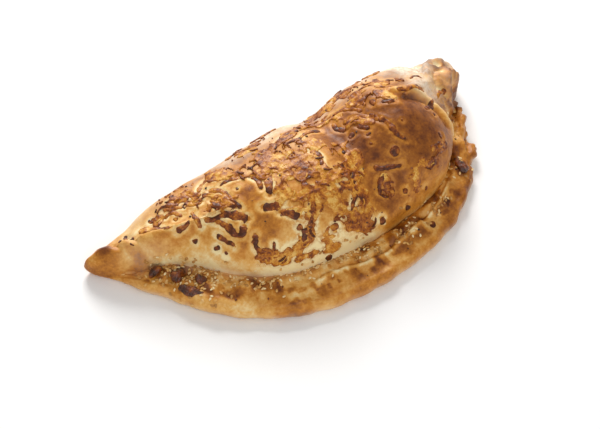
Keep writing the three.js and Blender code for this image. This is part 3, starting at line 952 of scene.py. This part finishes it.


# Wheat dough, fermented and oven-baked. Sugars brown where it swells towards the heat, and it stays
# cream where fat or flour lies on it: the eye sees soft clouds of tan on cream under a faint oily sheen.
# Its bake and flour masks also carry painted light: painted shade in the valley, the seam, the lip and some
# creases, painted highlights on the back rim, the collar ridge and some knob crests, and a strip above the
# seam lightened against the groove's shade.
def baked_dough_material():
    settings = bpy.context.scene.calzone_dough
    material, tree, shader, place = new_material("wheat_dough_oven_baked")
    bake, flour, grease = (
        add_node(tree, "ShaderNodeAttribute", attribute_name=name).outputs["Fac"]
        for name in ("bake", "flour", "grease")
    )
    # 1/130 m: mottling about 8 mm across; 1/500 m: freckles of 2 mm; 1/1600 m: pores of 0.6 mm
    mottle, freckle, pores = (
        add_node(tree, "ShaderNodeTexNoise", {
            "Vector": place, "Scale": scale, "Detail": detail, "Roughness": roughness,
        }).outputs["Fac"]
        for scale, detail, roughness in ((130, 5, 0.62), (500, 3, 0.6), (1600, 2, 0.5))
    )
    level = unevened(tree, bake, (mottle, 0.5), (freckle, 0.3))
    crust = add_node(tree, "ShaderNodeValToRGB", {"Fac": level}, stops=(
        (0.06, settings.cream), (0.98, settings.char), (0.28, settings.pale), (0.46, settings.golden),
        (0.64, settings.brown), (0.82, settings.dark),
    ))
    # fat soaks into the freckles, and flour stays between them; the flour mask also lays on painted
    # highlights and painted lighter patches
    oily = add_node(tree, "ShaderNodeMapRange", {0: freckle, 1: 0.38, 2: 0.62, 4: 0.75})
    dusty = add_node(tree, "ShaderNodeMapRange", {0: freckle, 1: 0.3, 2: 0.6, 3: 0.45, 4: 1.0})
    colour = crust.outputs[0]
    for mask, amount, stain in ((oily, grease, settings.grease), (dusty, flour, settings.flour)):
        share = add_node(tree, "ShaderNodeMath", {0: mask.outputs[0], 1: amount}, operation="MULTIPLY")
        mixed = add_node(tree, "ShaderNodeMix", {0: share.outputs[0], 6: colour, 7: stain}, data_type="RGBA")
        colour = mixed.outputs[2]
    matt = add_node(tree, "ShaderNodeMapRange", {0: share.outputs[0], 1: 0.0, 2: 1.0, 3: 0.46, 4: 0.8})
    finish_material(tree, shader, ((mottle, 0.35, 1.2), (freckle, 0.35, 0.4), (pores, 0.25, 0.2)), {
        "Base Color": colour, "Roughness": matt.outputs[0], "Specular IOR Level": 0.3,
    })
    return material


# Low-moisture cheese, grated, melted and browned. Fat fries its surface: the eye sees translucent
# orange to red-brown with darker blistered crests and a wet gloss.
def browned_cheese_material():
    settings = bpy.context.scene.calzone_cheese
    material, tree, shader, place = new_material("grated_cheese_browned")
    toast = add_node(tree, "ShaderNodeAttribute", attribute_name="toast").outputs["Fac"]
    # 1/420 m: blisters about 2.4 mm across; 1/900 m: fried specks of 1.1 mm
    blister, specks = (
        add_node(tree, "ShaderNodeTexNoise", {
            "Vector": place, "Scale": scale, "Detail": detail, "Roughness": roughness,
        }).outputs["Fac"]
        for scale, detail, roughness in ((420, 4, 0.65), (900, 2, 0.5))
    )
    level = unevened(tree, toast, (blister, 1.0), (specks, 0.7))
    colour = add_node(tree, "ShaderNodeValToRGB", {"Fac": level}, stops=(
        (0.02, settings.melted), (0.98, settings.burnt), (0.26, settings.golden), (0.48, settings.orange),
        (0.74, settings.brown),
    ))
    shine = add_node(tree, "ShaderNodeMapRange", {0: specks, 1: 0.3, 2: 0.7, 3: 0.32, 4: 0.55})
    finish_material(tree, shader, ((blister, 0.5, 0.7), (specks, 0.3, 0.3)), {
        "Base Color": colour.outputs[0], "Roughness": shine.outputs[0], "IOR": 1.46,
        "Specular IOR Level": 0.35,
    })
    return material


# Cheese that bubbled out and charred: hard, nearly black crests over red-brown, with small bright glints.
def burnt_cheese_material():
    settings = bpy.context.scene.calzone_cheese
    material, tree, shader, place = new_material("cheese_blistered_and_burnt")
    # 1/450 m: bubbles about 2 mm across; 1/1100 m: crazing of 0.9 mm; 1/240 m: clouds of 4 mm
    bubbles, crazing, clouds = (
        add_node(tree, "ShaderNodeTexNoise", {
            "Vector": place, "Scale": scale, "Detail": detail, "Distortion": distortion,
        }).outputs["Fac"]
        for scale, detail, distortion in ((450, 4, 0.6), (1100, 3, 0.0), (240, 3, 0.0))
    )
    colour = add_node(tree, "ShaderNodeValToRGB", {"Fac": clouds}, stops=(
        (0.3, settings.char), (0.76, settings.orange), (0.44, settings.burnt), (0.6, settings.brown),
    ))
    shine = add_node(tree, "ShaderNodeMapRange", {0: crazing, 1: 0.35, 2: 0.65, 3: 0.22, 4: 0.5})
    finish_material(tree, shader, ((bubbles, 0.5, 0.9), (crazing, 0.4, 0.3)), {
        "Base Color": colour.outputs[0], "Roughness": shine.outputs[0],
    })
    return material


# Sesame seed in its hull, toasted: smooth, cream to straw, a little darker seed by seed.
def sesame_material():
    settings = bpy.context.scene.calzone_seeds
    material, tree, shader, place = new_material("sesame_hull_toasted")
    toast = add_node(tree, "ShaderNodeAttribute", attribute_name="toast").outputs["Fac"]
    # 1/900 m: faint ribs of the hull, about 1 mm
    ribs = add_node(tree, "ShaderNodeTexNoise", {"Vector": place, "Scale": 900, "Detail": 2}).outputs["Fac"]
    level = add_node(tree, "ShaderNodeMath", {0: ribs, 1: 0.3, 2: toast}, operation="MULTIPLY_ADD")
    colour = add_node(tree, "ShaderNodeValToRGB", {"Fac": level.outputs[0]}, stops=(
        (0.15, settings.light), (1.0, settings.dark), (0.7, settings.straw),
    ))
    finish_material(tree, shader, ((ribs, 0.2, 0.2),), {"Base Color": colour.outputs[0], "Roughness": 0.38})
    return material


# Matt white paper sweep: bright and plain, with only a trace of unevenness.
def floor_material():
    settings = bpy.context.scene.calzone_stage
    material, tree, shader, place = new_material("paper_sweep_matt")
    # 1/3 m: slow drifts of tone over a third of a metre
    tone = add_node(tree, "ShaderNodeTexNoise", {"Vector": place, "Scale": 3, "Detail": 2})
    colour = add_node(tree, "ShaderNodeValToRGB", {"Fac": tone.outputs["Fac"]}, stops=(
        (0.3, settings.floor), (0.7, settings.floor_light),
    ))
    feed(tree, shader, {"Base Color": colour.outputs[0], "Roughness": 0.9})
    return material


# ---- things scattered by Geometry Nodes ----------------------------------------------------------


def scatter_tree():
    """A tree that scatters an item over a surface, more where an attribute is high."""
    tree = bpy.data.node_groups.new("scatter", "GeometryNodeTree")
    inputs = {
        "Surface": "Geometry", "Item": "Object", "Weight": "String", "Number in 1 m2": "Float",
        "Smallest": "Float", "Largest": "Float", "Tilt": "Float", "Seed": "Int", "Material": "Material",
    }
    for name, kind in inputs.items():
        tree.interface.new_socket(name, in_out="INPUT", socket_type=f"NodeSocket{kind}")
    tree.interface.new_socket("Scattered", in_out="OUTPUT", socket_type="NodeSocketGeometry")
    given = add_node(tree, "NodeGroupInput").outputs
    weight = add_node(tree, "GeometryNodeInputNamedAttribute", {"Name": given["Weight"]}, data_type="FLOAT")
    density = add_node(
        tree, "ShaderNodeMath", {0: weight.outputs[0], 1: given["Number in 1 m2"]}, operation="MULTIPLY",
    )
    spread = add_node(tree, "GeometryNodeDistributePointsOnFaces", {
        "Mesh": given["Surface"], "Density": density.outputs[0], "Seed": given["Seed"],
    })
    back = add_node(tree, "ShaderNodeMath", {0: given["Tilt"], 1: -1.0}, operation="MULTIPLY")
    least = add_node(tree, "ShaderNodeCombineXYZ", {0: back.outputs[0], 1: back.outputs[0], 2: 0.0})
    most = add_node(tree, "ShaderNodeCombineXYZ", {0: given["Tilt"], 1: given["Tilt"], 2: math.tau})
    turn = add_node(tree, "FunctionNodeRandomValue", {
        0: least.outputs[0], 1: most.outputs[0], "Seed": given["Seed"],
    }, data_type="FLOAT_VECTOR")
    turn = add_node(tree, "FunctionNodeEulerToRotation", {0: turn.outputs[0]})
    rotation = add_node(tree, "FunctionNodeRotateRotation", {
        0: spread.outputs["Rotation"], 1: turn.outputs[0],
    }, rotation_space="LOCAL")
    size = add_node(tree, "FunctionNodeRandomValue", {
        2: given["Smallest"], 3: given["Largest"], "Seed": given["Seed"],
    }, data_type="FLOAT")
    item = add_node(tree, "GeometryNodeObjectInfo", {"Object": given["Item"]})
    placed = add_node(tree, "GeometryNodeInstanceOnPoints", {
        "Points": spread.outputs["Points"], "Instance": item.outputs["Geometry"],
        "Rotation": rotation.outputs[0], "Scale": size.outputs[1],
    })
    shade = add_node(tree, "FunctionNodeRandomValue", {
        2: 0.0, 3: 1.0, "Seed": given["Seed"],
    }, data_type="FLOAT")
    shaded = add_node(tree, "GeometryNodeStoreNamedAttribute", {
        "Geometry": placed.outputs[0], "Name": "toast", "Value": shade.outputs[1],
    }, data_type="FLOAT", domain="INSTANCE")
    real = add_node(tree, "GeometryNodeRealizeInstances", {"Geometry": shaded.outputs[0]})
    covered = add_node(tree, "GeometryNodeSetMaterial", {
        "Geometry": real.outputs[0], "Material": given["Material"],
    })
    add_node(tree, "NodeGroupOutput", {0: covered.outputs[0]})
    return tree


def scatter(name, surface, item, material, values):
    """Runs the tree on a copy of the surface and keeps the result as a plain mesh object."""
    host = surface.copy()
    host.data = surface.data.copy()
    bpy.context.scene.collection.objects.link(host)
    tree = scatter_tree()
    modifier = host.modifiers.new("scatter", "NODES")
    modifier.node_group = tree
    sockets = {socket.name: socket.identifier for socket in tree.interface.items_tree}
    for key, value in {**values, "Item": item, "Material": material}.items():
        modifier[sockets[key]] = value
    evaluated = host.evaluated_get(bpy.context.evaluated_depsgraph_get())
    mesh = bpy.data.meshes.new_from_object(evaluated)
    host.modifiers.remove(modifier)
    for spent in (host, item):
        bpy.data.objects.remove(spent)
    bpy.data.node_groups.remove(tree)
    mesh.name = name
    mesh.shade_smooth()
    piece = bpy.data.objects.new(name, mesh)
    bpy.context.scene.collection.objects.link(piece)
    return piece


ARCH_POWER, THINNEST = 0.7, 0.03


def worm(centres, normals, half_widths, heights, sides=10, sunk=0.5):
    """A flattened worm along centres: points, faces. Its underside goes sunk mm into the surface."""
    ahead = np.gradient(centres, axis=0)
    ahead /= np.linalg.norm(ahead, axis=1, keepdims=True)
    side = np.cross(normals, ahead)
    side /= np.linalg.norm(side, axis=1, keepdims=True)
    turn = 2 * np.pi * np.arange(sides) / sides
    arch = np.abs(np.sin(turn)) ** ARCH_POWER
    lift = np.where(np.sin(turn) > 0, arch[None, :] * heights[:, None], -sunk * arch[None, :])
    lift = lift * np.minimum(1, half_widths / half_widths.max())[:, None] ** 0.5
    rings = centres[:, None] + side[:, None] * (half_widths[:, None] * np.cos(turn))[..., None]
    rings = rings + normals[:, None] * lift[..., None]
    rows = len(centres)
    faces = []
    for i in range(rows - 1):
        for k in range(sides):
            near, far = i * sides + k, i * sides + (k + 1) % sides
            faces.append((near, far, far + sides, near + sides))
    first, last = rows * sides, rows * sides + 1
    end = (rows - 1) * sides
    for k in range(sides):
        faces.append((first, (k + 1) % sides, k))
        faces.append((last, end + k, end + (k + 1) % sides))
    tips = np.stack([rings[0].mean(axis=0), rings[-1].mean(axis=0)])
    return np.concatenate([rings.reshape(-1, 3), tips]), faces


def rounding(distance, half):
    """Width of a round end, from 0 at the tip to 1 beyond half its width."""
    return np.sqrt(np.maximum(1 - (1 - clamp01(distance / half)) ** 2, THINNEST))


def laid(centre, reach, lean, step):
    """Points of a short straight strand round a place, each put on the nearest crust."""
    middle, normal = drop(crust_tree(), [centre])
    ahead = np.cross(normal[0], [math.sin(lean), -math.cos(lean), 0])
    ahead /= np.linalg.norm(ahead)
    offsets = np.linspace(-reach, reach, max(int(2 * reach / step), 3) + 1)
    hits = [crust_tree().find_nearest(Vector(middle[0] + ahead * offset)) for offset in offsets]
    return np.array([hit[0] for hit in hits]), np.array([hit[1] for hit in hits])


SMOOTHINGS = 3


def topped(centres, normals, half, start, end, seed):
    """One strand on the crust: points, faces and browning along it."""
    for _ in range(SMOOTHINGS):
        normals[1:-1] = (normals[:-2] + normals[1:-1] * 2 + normals[2:]) / 4
        centres[1:-1, 2] = (centres[:-2, 2] + centres[1:-1, 2] * 2 + centres[2:, 2]) / 4
    normals /= np.linalg.norm(normals, axis=1, keepdims=True)
    step = np.linalg.norm(np.diff(centres, axis=0), axis=1)
    along = np.concatenate([[0], np.cumsum(step)])
    t = along / along[-1]
    ragged = 1.05 + layers(centres, (0.42, 7, seed), (0.26, 2.2, seed + 1))
    knobs = 1 + 0.3 * math.sin(seed) * (2 * t - 1)
    halves = 1.1 * half * ragged * knobs * rounding(along, half) * rounding(along[-1] - along, half)
    height = bpy.context.scene.calzone_cheese.strand_height / MM
    points, faces = worm(centres, normals, halves, height * (0.9 + 0.4 * noise(centres, 2.6, seed + 2)))
    toast = mix(start, end, t) - 0.04 + 0.2 * noise(centres, 5, seed + 3)
    toast = np.concatenate([np.repeat(toast, (len(points) - 2) // len(centres)), toast[[0, -1]]])
    shifts = np.stack([noise(points, 2.3, seed + k) for k in (4, 5, 6)], axis=-1)
    return points + 0.5 * shifts, faces, toast + 0.34 * noise(points, 3, seed + 7)


@lru_cache
def crust_tree():
    """The finished crust as a tree, in mm."""
    mesh = bpy.data.objects["crust"].data
    points = np.empty(len(mesh.vertices) * 3, np.float32)
    mesh.vertices.foreach_get("co", points)
    faces = [tuple(face.vertices) for face in mesh.polygons]
    return BVHTree.FromPolygons((points.reshape(-1, 3) / MM).tolist(), faces)


def join(parts):
    """Several (points, faces, browning) as one."""
    points, faces, toast, start = [], [], [], 0
    for part_points, part_faces, part_toast in parts:
        points.append(part_points)
        faces.extend(tuple(start + corner for corner in face) for face in part_faces)
        toast.append(part_toast)
        start += len(part_points)
    return np.concatenate(points), faces, np.concatenate(toast)


# ---- settings ------------------------------------------------------------------------------------


def colour_property(name, description, hex_colour):
    return FloatVectorProperty(
        name=name, description=description, subtype="COLOR", size=4, min=0, max=1,
        default=linear(hex_colour),
    )


def length_property(name, description, millimetres):
    return FloatProperty(
        name=name, description=description, subtype="DISTANCE", unit="LENGTH", min=0, precision=5,
        default=millimetres * MM,
    )


def number_property(name, description, default, **settings):
    return FloatProperty(name=name, description=description, default=default, **settings)


def angle_property(name, description, degrees):
    return FloatProperty(
        name=name, description=description, subtype="ANGLE", unit="ROTATION", default=math.radians(degrees),
    )


class DoughSettings(PropertyGroup):
    swell: length_property("Swell", "Height of the soft swellings of the dough", 1.5)
    hem_lumps: length_property("Hem lumps", "Height of the lumps that fingers left in the hem", 1.35)
    cream: colour_property("Cream", "Dough that fat or flour kept pale", "#efd9a2")
    pale: colour_property("Pale", "Lightly baked dough", "#dda757")
    golden: colour_property("Golden", "Dough baked golden", "#c27d27")
    brown: colour_property("Brown", "Dough baked brown", "#93530f")
    dark: colour_property("Dark", "Dough on the browned swellings", "#663006")
    char: colour_property("Char", "Dough at the darkest blisters", "#371905")
    grease: colour_property("Grease", "Dough stained by hot cheese fat", "#b0691c")
    # this colour also paints the painted highlights and the painted lighter strip of the flour mask
    flour: colour_property("Flour", "Flour dust baked on", "#efe1ca")


class CheeseSettings(PropertyGroup):
    strand_height: length_property("Strand height", "Height of a strand over the crust", 0.95)
    mat_height: length_property("Mat height", "Height of a melted patch over the crust", 0.7)
    lump_roughness: length_property("Lump roughness", "Height of the bubbles on a burnt lump", 0.7)
    shreds: number_property("Shreds", "Shreds in each square centimetre of a patch", 1.0, min=0)
    specks: number_property("Specks", "Burnt specks in each square centimetre, at the most", 0.9, min=0)
    melted: colour_property("Melted", "Cheese melted but not browned", "#e0b05a")
    golden: colour_property("Golden", "Cheese baked golden", "#ca8728")
    orange: colour_property("Orange", "Cheese fried orange", "#aa6216")
    brown: colour_property("Brown", "Cheese fried red-brown", "#79380a")
    burnt: colour_property("Burnt", "Ends of the strands", "#4d2206")
    char: colour_property("Char", "Blackened crests", "#2d1404")


class SeedSettings(PropertyGroup):
    length: length_property("Length", "Length of a sesame seed", 3.1)
    width: length_property("Width", "Width of a sesame seed", 1.8)
    thickness: length_property("Thickness", "Thickness of a sesame seed", 0.9)
    number: number_property("Number", "Seeds in each square centimetre, at the most", 20.0, min=0)
    light: colour_property("Light", "Hull of an untoasted seed", "#f2dba6")
    straw: colour_property("Straw", "Hull toasted straw", "#d9a558")
    dark: colour_property("Dark", "Hull toasted brown", "#b07a35")


class StageSettings(PropertyGroup):
    floor_size: length_property("Floor size", "Side of the square floor", 8000)
    sky: number_property("Sky", "Strength of the even light from all round", 0.5, min=0)
    key_power: number_property("Key power", "Power of the main light", 30, unit="POWER")
    key_size: length_property("Key size", "Side of the main light", 700)
    light_distance: length_property("Light distance", "From the calzone to each light", 1700)
    key_azimuth: angle_property("Key azimuth", "Where the main light stands, from +X towards +Y", 64)
    key_height: angle_property("Key height", "How high the main light stands", 34)
    fill_power: number_property("Fill power", "Power of the front light", 9, unit="POWER")
    fill_size: length_property("Fill size", "Side of the front light", 1300)
    fill_azimuth: angle_property("Fill azimuth", "Where the front light stands, from +X towards +Y", -115)
    fill_height: angle_property("Fill height", "How high the front light stands", 38)
    exposure: number_property("Exposure", "Exposure of the view, in stops", 0.0)
    floor: colour_property("Floor", "Paper of the floor", "#f4f3f1")
    floor_light: colour_property("Light floor", "Paper of the floor where it is lighter", "#f7f6f5")


# ---- operators, one for each piece or group of like pieces ---------------------------------------

PER_CM2 = 1e4                   # one in each square centimetre, as a number in 1 m2
UP = (0.0, 0.0, 1.0)


class CALZONE_OT_crust(Operator):
    """Build the folded dough with its hem, swellings, creases and browning"""
    bl_idname = "calzone.crust"
    bl_label = "Crust"

    def execute(self, context):
        crust = make_object("crust", *crust_surface(), baked_dough_material())
        settle(crust, "baked_dough", "dough")
        return {"FINISHED"}


# The burnt lumps: points welded within so many metres, times rounded, mm sunk, and browning.
WELD_WITHIN, ROUNDINGS, LUMP_SUNK, LUMP_TOAST = 1e-5, 3, 1.3, 0.9


class CALZONE_OT_burnt_lumps(Operator):
    """Build the burnt lumps of cheese on the hem from the frame's lumps"""
    bl_idname = "calzone.burnt_lumps"
    bl_label = "Burnt lumps"

    def execute(self, context):
        height = context.scene.calzone_cheese.lump_roughness / MM
        parts = []
        for name in LUMP_NODES:
            source = frame["nodes"][name]
            copy = bpy.data.objects.new("lump_copy", source.data.copy())
            context.scene.collection.objects.link(copy)
            weld = copy.modifiers.new("weld", "WELD")
            weld.merge_threshold = WELD_WITHIN
            rounder = copy.modifiers.new("rounder", "SUBSURF")
            rounder.levels = rounder.render_levels = ROUNDINGS
            evaluated = copy.evaluated_get(context.evaluated_depsgraph_get())
            mesh = bpy.data.meshes.new_from_object(evaluated)
            count = len(mesh.vertices)
            places, normals = np.empty(count * 3, np.float32), np.empty(count * 3, np.float32)
            mesh.vertices.foreach_get("co", places)
            mesh.vertex_normals.foreach_get("vector", normals)
            places, normals = places.reshape(-1, 3) / MM, normals.reshape(-1, 3)
            bubbles = layers(places, (1.3, 4.6, 31), (0.7, 2.1, 32), (0.3, 1, 33))
            up = clamp01(normals[:, 2] + 0.6)
            places = places + normals * (height * bubbles * up)[:, None]
            places[:, 2] -= LUMP_SUNK
            faces = [tuple(face.vertices) for face in mesh.polygons]
            parts.append((places, faces, np.full(count, LUMP_TOAST)))
            bpy.data.objects.remove(copy)
        points, faces, toast = join(parts)
        lumps = make_object("burnt_lumps", points, faces, {"toast": toast}, burnt_cheese_material())
        settle(lumps, "burnt_cheese", *LUMP_NODES)
        return {"FINISHED"}


STRAND_SEED, DROP_SEED, SEEDS_EACH = 100, 400, 5


class CALZONE_OT_strands(Operator):
    """Lay the strands and drops of browned cheese on the crust"""
    bl_idname = "calzone.strands"
    bl_label = "Cheese strands"

    def execute(self, context):
        parts = []
        for k, (width, start, end, route) in enumerate(STRANDS):
            centres, normals = drop(crust_tree(), curve(route, STRAND_STEP))
            parts.append(topped(centres, normals, width / 2, start, end, STRAND_SEED + SEEDS_EACH * k))
        for k, (x, y, half, toast) in enumerate(DROPS):
            centres, normals = laid((x, y), half * 1.2, 2.4 * k, DROP_STEP)
            parts.append(topped(centres, normals, half * 0.85, toast, toast, DROP_SEED + SEEDS_EACH * k))
        points, faces, toast = join(parts)
        strands = make_object("cheese_strands", points, faces, {"toast": toast}, shared_cheese_material())
        settle(strands, "melted_cheese")
        return {"FINISHED"}


@lru_cache
def shared_cheese_material():
    return browned_cheese_material()


MAT_REACHES_DOWN_TO = 1.12      # as v: just under the widest line
MAT_THICKNESS, MAT_EDGE_SUNK = 0.6, 0.25


def mat_lift(points, cover):
    """How far the top of the melted cheese stands off the crust, as a share of its height."""
    blisters = clamp01(creases(points, (2.4, 2.6, 42)))
    lift = 0.2 + 0.3 * smooth(0, 0.5, cover) + 0.9 * threads(points) + 0.35 * blisters
    return lift * smooth(0.0, 0.3, cover)


def mat_toast(points, cover):
    """Browning of the melted cheese: its threads and rims, its left end, its right end and the middle."""
    x, y, _ = points.T
    rim = smooth(0, 0.12, cover) * (1 - smooth(0.12, 0.45, cover))
    toast = 0.23 + 0.36 * threads(points) + layers(points, (0.22, 9, 43), (0.28, 3.4, 44)) + 0.14 * rim
    toast = toast + 0.2 * smooth(52, 72, x) * (1 - smooth(8, 26, y)) + 0.12 * smooth(-50, -70, x)
    return toast + 0.22 * bell(np.hypot(x - 2, y - 36), 14) + 0.1 * bell(np.hypot(x + 10, y + 4), 14)


class CALZONE_OT_mats(Operator):
    """Melt patches of cheese over the crust"""
    bl_idname = "calzone.mats"
    bl_label = "Melted patches"

    def execute(self, context):
        levels = np.linspace(0, MAT_REACHES_DOWN_TO, MAT_ROWS)
        points, quads, _, _ = dough_grid(MAT_STATIONS, levels)
        cover = mat_cover(points)
        normals = point_normals(points, quads)
        kept = quads[(cover[quads] > 0).all(axis=1)]
        used = np.unique(kept)
        raised = points.copy()
        raised[used] = onto_crust(points[used], normals[used])
        lift = context.scene.calzone_cheese.mat_height / MM * mat_lift(points, cover)
        sunk = MAT_EDGE_SUNK * (1 - smooth(0.02, 0.14, cover))
        top = raised + normals * (lift - sunk)[:, None]
        bottom = raised - normals * MAT_THICKNESS
        count = len(points)
        rims = open_edges(kept)
        walls = np.stack([rims[:, 1], rims[:, 0], rims[:, 0] + count, rims[:, 1] + count], axis=-1)
        faces = np.concatenate([kept, kept[:, ::-1] + count, walls])
        looks = {
            "toast": np.tile(mat_toast(points, cover), 2),
            "shred_weight": np.concatenate([smooth(0.38, 0.62, cover), np.zeros(count)]),
        }
        both = np.concatenate([top, bottom])
        mats = make_object("cheese_mats", both, faces, looks, shared_cheese_material())
        settle(mats, "melted_cheese")
        return {"FINISHED"}


def open_edges(quads):
    """The directed edges of the quads that only one of them has."""
    edges = np.concatenate([quads[:, [k, (k + 1) % 4]] for k in range(4)])
    low, high = edges.min(axis=1), edges.max(axis=1)
    key = low.astype(np.int64) * (quads.max() + 1) + high
    _, first, count = np.unique(key, return_index=True, return_counts=True)
    return edges[first[count == 1]]


class CALZONE_OT_shreds(Operator):
    """Scatter short shreds in the melted patches"""
    bl_idname = "calzone.shreds"
    bl_label = "Shreds"

    def execute(self, context):
        # a bent shred 7.6 mm long and 1.9 mm wide, drooping at its ends
        bend = np.linspace(-1, 1, 8)
        centres = np.stack([3.8 * bend, 1.3 * (1 - bend ** 2), 0.1 - 0.35 * bend ** 2], axis=-1)
        halves = 0.95 * rounding(1 - np.abs(bend), 0.35)
        up = np.tile(UP, (len(bend), 1))
        points, faces = worm(centres, up, halves, np.full(len(bend), 0.7), sides=6, sunk=0.6)
        item = make_object("shred_item", points, faces, {}, None)
        values = {
            "Weight": "shred_weight", "Number in 1 m2": context.scene.calzone_cheese.shreds * PER_CM2,
            "Smallest": 0.5, "Largest": 1.0, "Tilt": 0.1, "Seed": 5,
        }
        mats = bpy.data.objects["cheese_mats"]
        shreds = scatter("cheese_shreds", mats, item, shared_cheese_material(), values)
        settle(shreds, "melted_cheese")
        return {"FINISHED"}


class CALZONE_OT_specks(Operator):
    """Scatter small burnt specks over the dome and the hem"""
    bl_idname = "calzone.specks"
    bl_label = "Burnt specks"

    def execute(self, context):
        item = blob("speck_item", 1.1, 0.8, 0.55, 0.15)
        values = {
            "Weight": "speck_weight", "Number in 1 m2": context.scene.calzone_cheese.specks * PER_CM2,
            "Smallest": 0.35, "Largest": 1.0, "Tilt": 0.15, "Seed": 11,
        }
        specks = scatter("burnt_specks", bpy.data.objects["crust"], item, burnt_cheese_material(), values)
        settle(specks, "burnt_cheese")
        return {"FINISHED"}


class CALZONE_OT_seeds(Operator):
    """Scatter sesame seeds in clusters along the seam"""
    bl_idname = "calzone.seeds"
    bl_label = "Sesame seeds"

    def execute(self, context):
        seeds = context.scene.calzone_seeds
        halves = (size / MM / 2 for size in (seeds.length, seeds.width, seeds.thickness))
        item = blob("seed_item", *halves, 0.3)
        values = {
            "Weight": "seed_weight", "Number in 1 m2": seeds.number * PER_CM2,
            "Smallest": 0.85, "Largest": 1.1, "Tilt": 0.3, "Seed": 3,
        }
        scattered = scatter("sesame_seeds", bpy.data.objects["crust"], item, sesame_material(), values)
        settle(scattered, "sesame_seed")
        return {"FINISHED"}


def blob(name, half_length, half_width, half_height, taper):
    """A flattened drop, narrower at its +X end, resting a little in the surface."""
    along = np.linspace(-1, 1, 7)
    shape = np.sqrt(np.maximum(1 - along ** 2, 0.02))
    count = len(along)
    centres = np.stack([half_length * along, np.zeros(count), np.full(count, half_height * 0.8)], axis=-1)
    halves = half_width * shape * (1 - taper * along)
    heights = half_height * shape
    up = np.tile(UP, (count, 1))
    points, faces = worm(centres, up, halves, heights, sides=8, sunk=half_height)
    return make_object(name, points, faces, {}, None)


class CALZONE_OT_stage(Operator):
    """Lay the floor, set the lights and stand the camera"""
    bl_idname = "calzone.stage"
    bl_label = "Floor, lights and camera"

    def execute(self, context):
        stage = context.scene.calzone_stage
        half = stage.floor_size / 2
        mesh = bpy.data.meshes.new("floor")
        corners = [(-half, -half, 0), (half, -half, 0), (half, half, 0), (-half, half, 0)]
        mesh.from_pydata(corners, [], [(0, 1, 2, 3)])
        mesh.materials.append(floor_material())
        floor = bpy.data.objects.new("floor", mesh)
        context.scene.collection.objects.link(floor)
        floor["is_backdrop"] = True

        world = bpy.data.worlds.new("studio")
        world.use_nodes = True
        background = world.node_tree.nodes["Background"]
        background.inputs["Color"].default_value = (1, 1, 1, 1)
        background.inputs["Strength"].default_value = stage.sky
        context.scene.world = world

        low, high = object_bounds()
        middle = (low + high) / 2
        for name in ("key", "fill"):
            power, size, azimuth, height = (
                getattr(stage, f"{name}_{part}") for part in ("power", "size", "azimuth", "height")
            )
            light = bpy.data.lights.new(name, "AREA")
            light.size = size
            light.energy = power
            lamp = bpy.data.objects.new(name, light)
            flat = math.cos(height)
            away = Vector((flat * math.cos(azimuth), flat * math.sin(azimuth), math.sin(height)))
            lamp.location = middle + away * stage.light_distance
            lamp.rotation_euler = away.to_track_quat("Z", "Y").to_euler()
            context.scene.collection.objects.link(lamp)

        view = context.scene.view_settings
        view.view_transform = "Standard"
        view.exposure = stage.exposure
        place_camera(context.scene)
        return {"FINISHED"}


# The camera stands far off and looks down on the hem's left front.
CAMERA_AZIMUTH, CAMERA_ELEVATION = math.radians(-35), math.radians(50)
CAMERA_DISTANCE = 2.6
CAMERA_AIM = Vector((-0.0053, 0.0174, 0))
CAMERA_LENS, SENSOR_WIDTH = 217.9, 36


def place_camera(scene):
    data = bpy.data.cameras.new("camera")
    data.lens, data.sensor_width = CAMERA_LENS, SENSOR_WIDTH
    data.clip_end = 100
    camera = bpy.data.objects.new("camera", data)
    level = math.cos(CAMERA_ELEVATION)
    back = Vector((
        math.sin(CAMERA_AZIMUTH) * level, -math.cos(CAMERA_AZIMUTH) * level, math.sin(CAMERA_ELEVATION),
    ))
    right = Vector((math.cos(CAMERA_AZIMUTH), math.sin(CAMERA_AZIMUTH), 0))
    turn = Matrix((right, back.cross(right), back)).transposed().to_4x4()
    turn.translation = CAMERA_AIM + back * CAMERA_DISTANCE
    camera.matrix_world = turn
    scene.collection.objects.link(camera)
    scene.camera = camera


class CALZONE_PT_parts(Panel):
    """The pieces of the calzone"""
    bl_idname = "CALZONE_PT_parts"
    bl_label = "Calzone"
    bl_space_type = "VIEW_3D"
    bl_region_type = "UI"
    bl_category = "Calzone"

    def draw(self, context):
        column = self.layout.column()
        for operator in PIECE_OPERATORS:
            column.operator(operator.bl_idname)
        for key in SETTINGS:
            group = getattr(context.scene, key)
            box = column.box()
            for name in group.__annotations__:
                box.prop(group, name)


SETTINGS = {
    "calzone_dough": DoughSettings, "calzone_cheese": CheeseSettings,
    "calzone_seeds": SeedSettings, "calzone_stage": StageSettings,
}
PIECE_OPERATORS = (
    CALZONE_OT_crust, CALZONE_OT_burnt_lumps, CALZONE_OT_mats, CALZONE_OT_strands, CALZONE_OT_shreds,
    CALZONE_OT_specks, CALZONE_OT_seeds, CALZONE_OT_stage,
)
CLASSES = (*SETTINGS.values(), *PIECE_OPERATORS, CALZONE_PT_parts)


def register():
    for cls in CLASSES:
        bpy.utils.register_class(cls)
    for key, group in SETTINGS.items():
        setattr(bpy.types.Scene, key, PointerProperty(type=group))


def unregister():
    for key in SETTINGS:
        delattr(bpy.types.Scene, key)
    for cls in reversed(CLASSES):
        bpy.utils.unregister_class(cls)


def main():
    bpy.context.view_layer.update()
    register()
    bpy.ops.calzone.crust()
    bpy.ops.calzone.burnt_lumps()
    bpy.ops.calzone.mats()
    bpy.ops.calzone.strands()
    bpy.ops.calzone.shreds()
    bpy.ops.calzone.specks()
    bpy.ops.calzone.seeds()
    bpy.ops.calzone.stage()


if __name__ == "__main__":
    main()
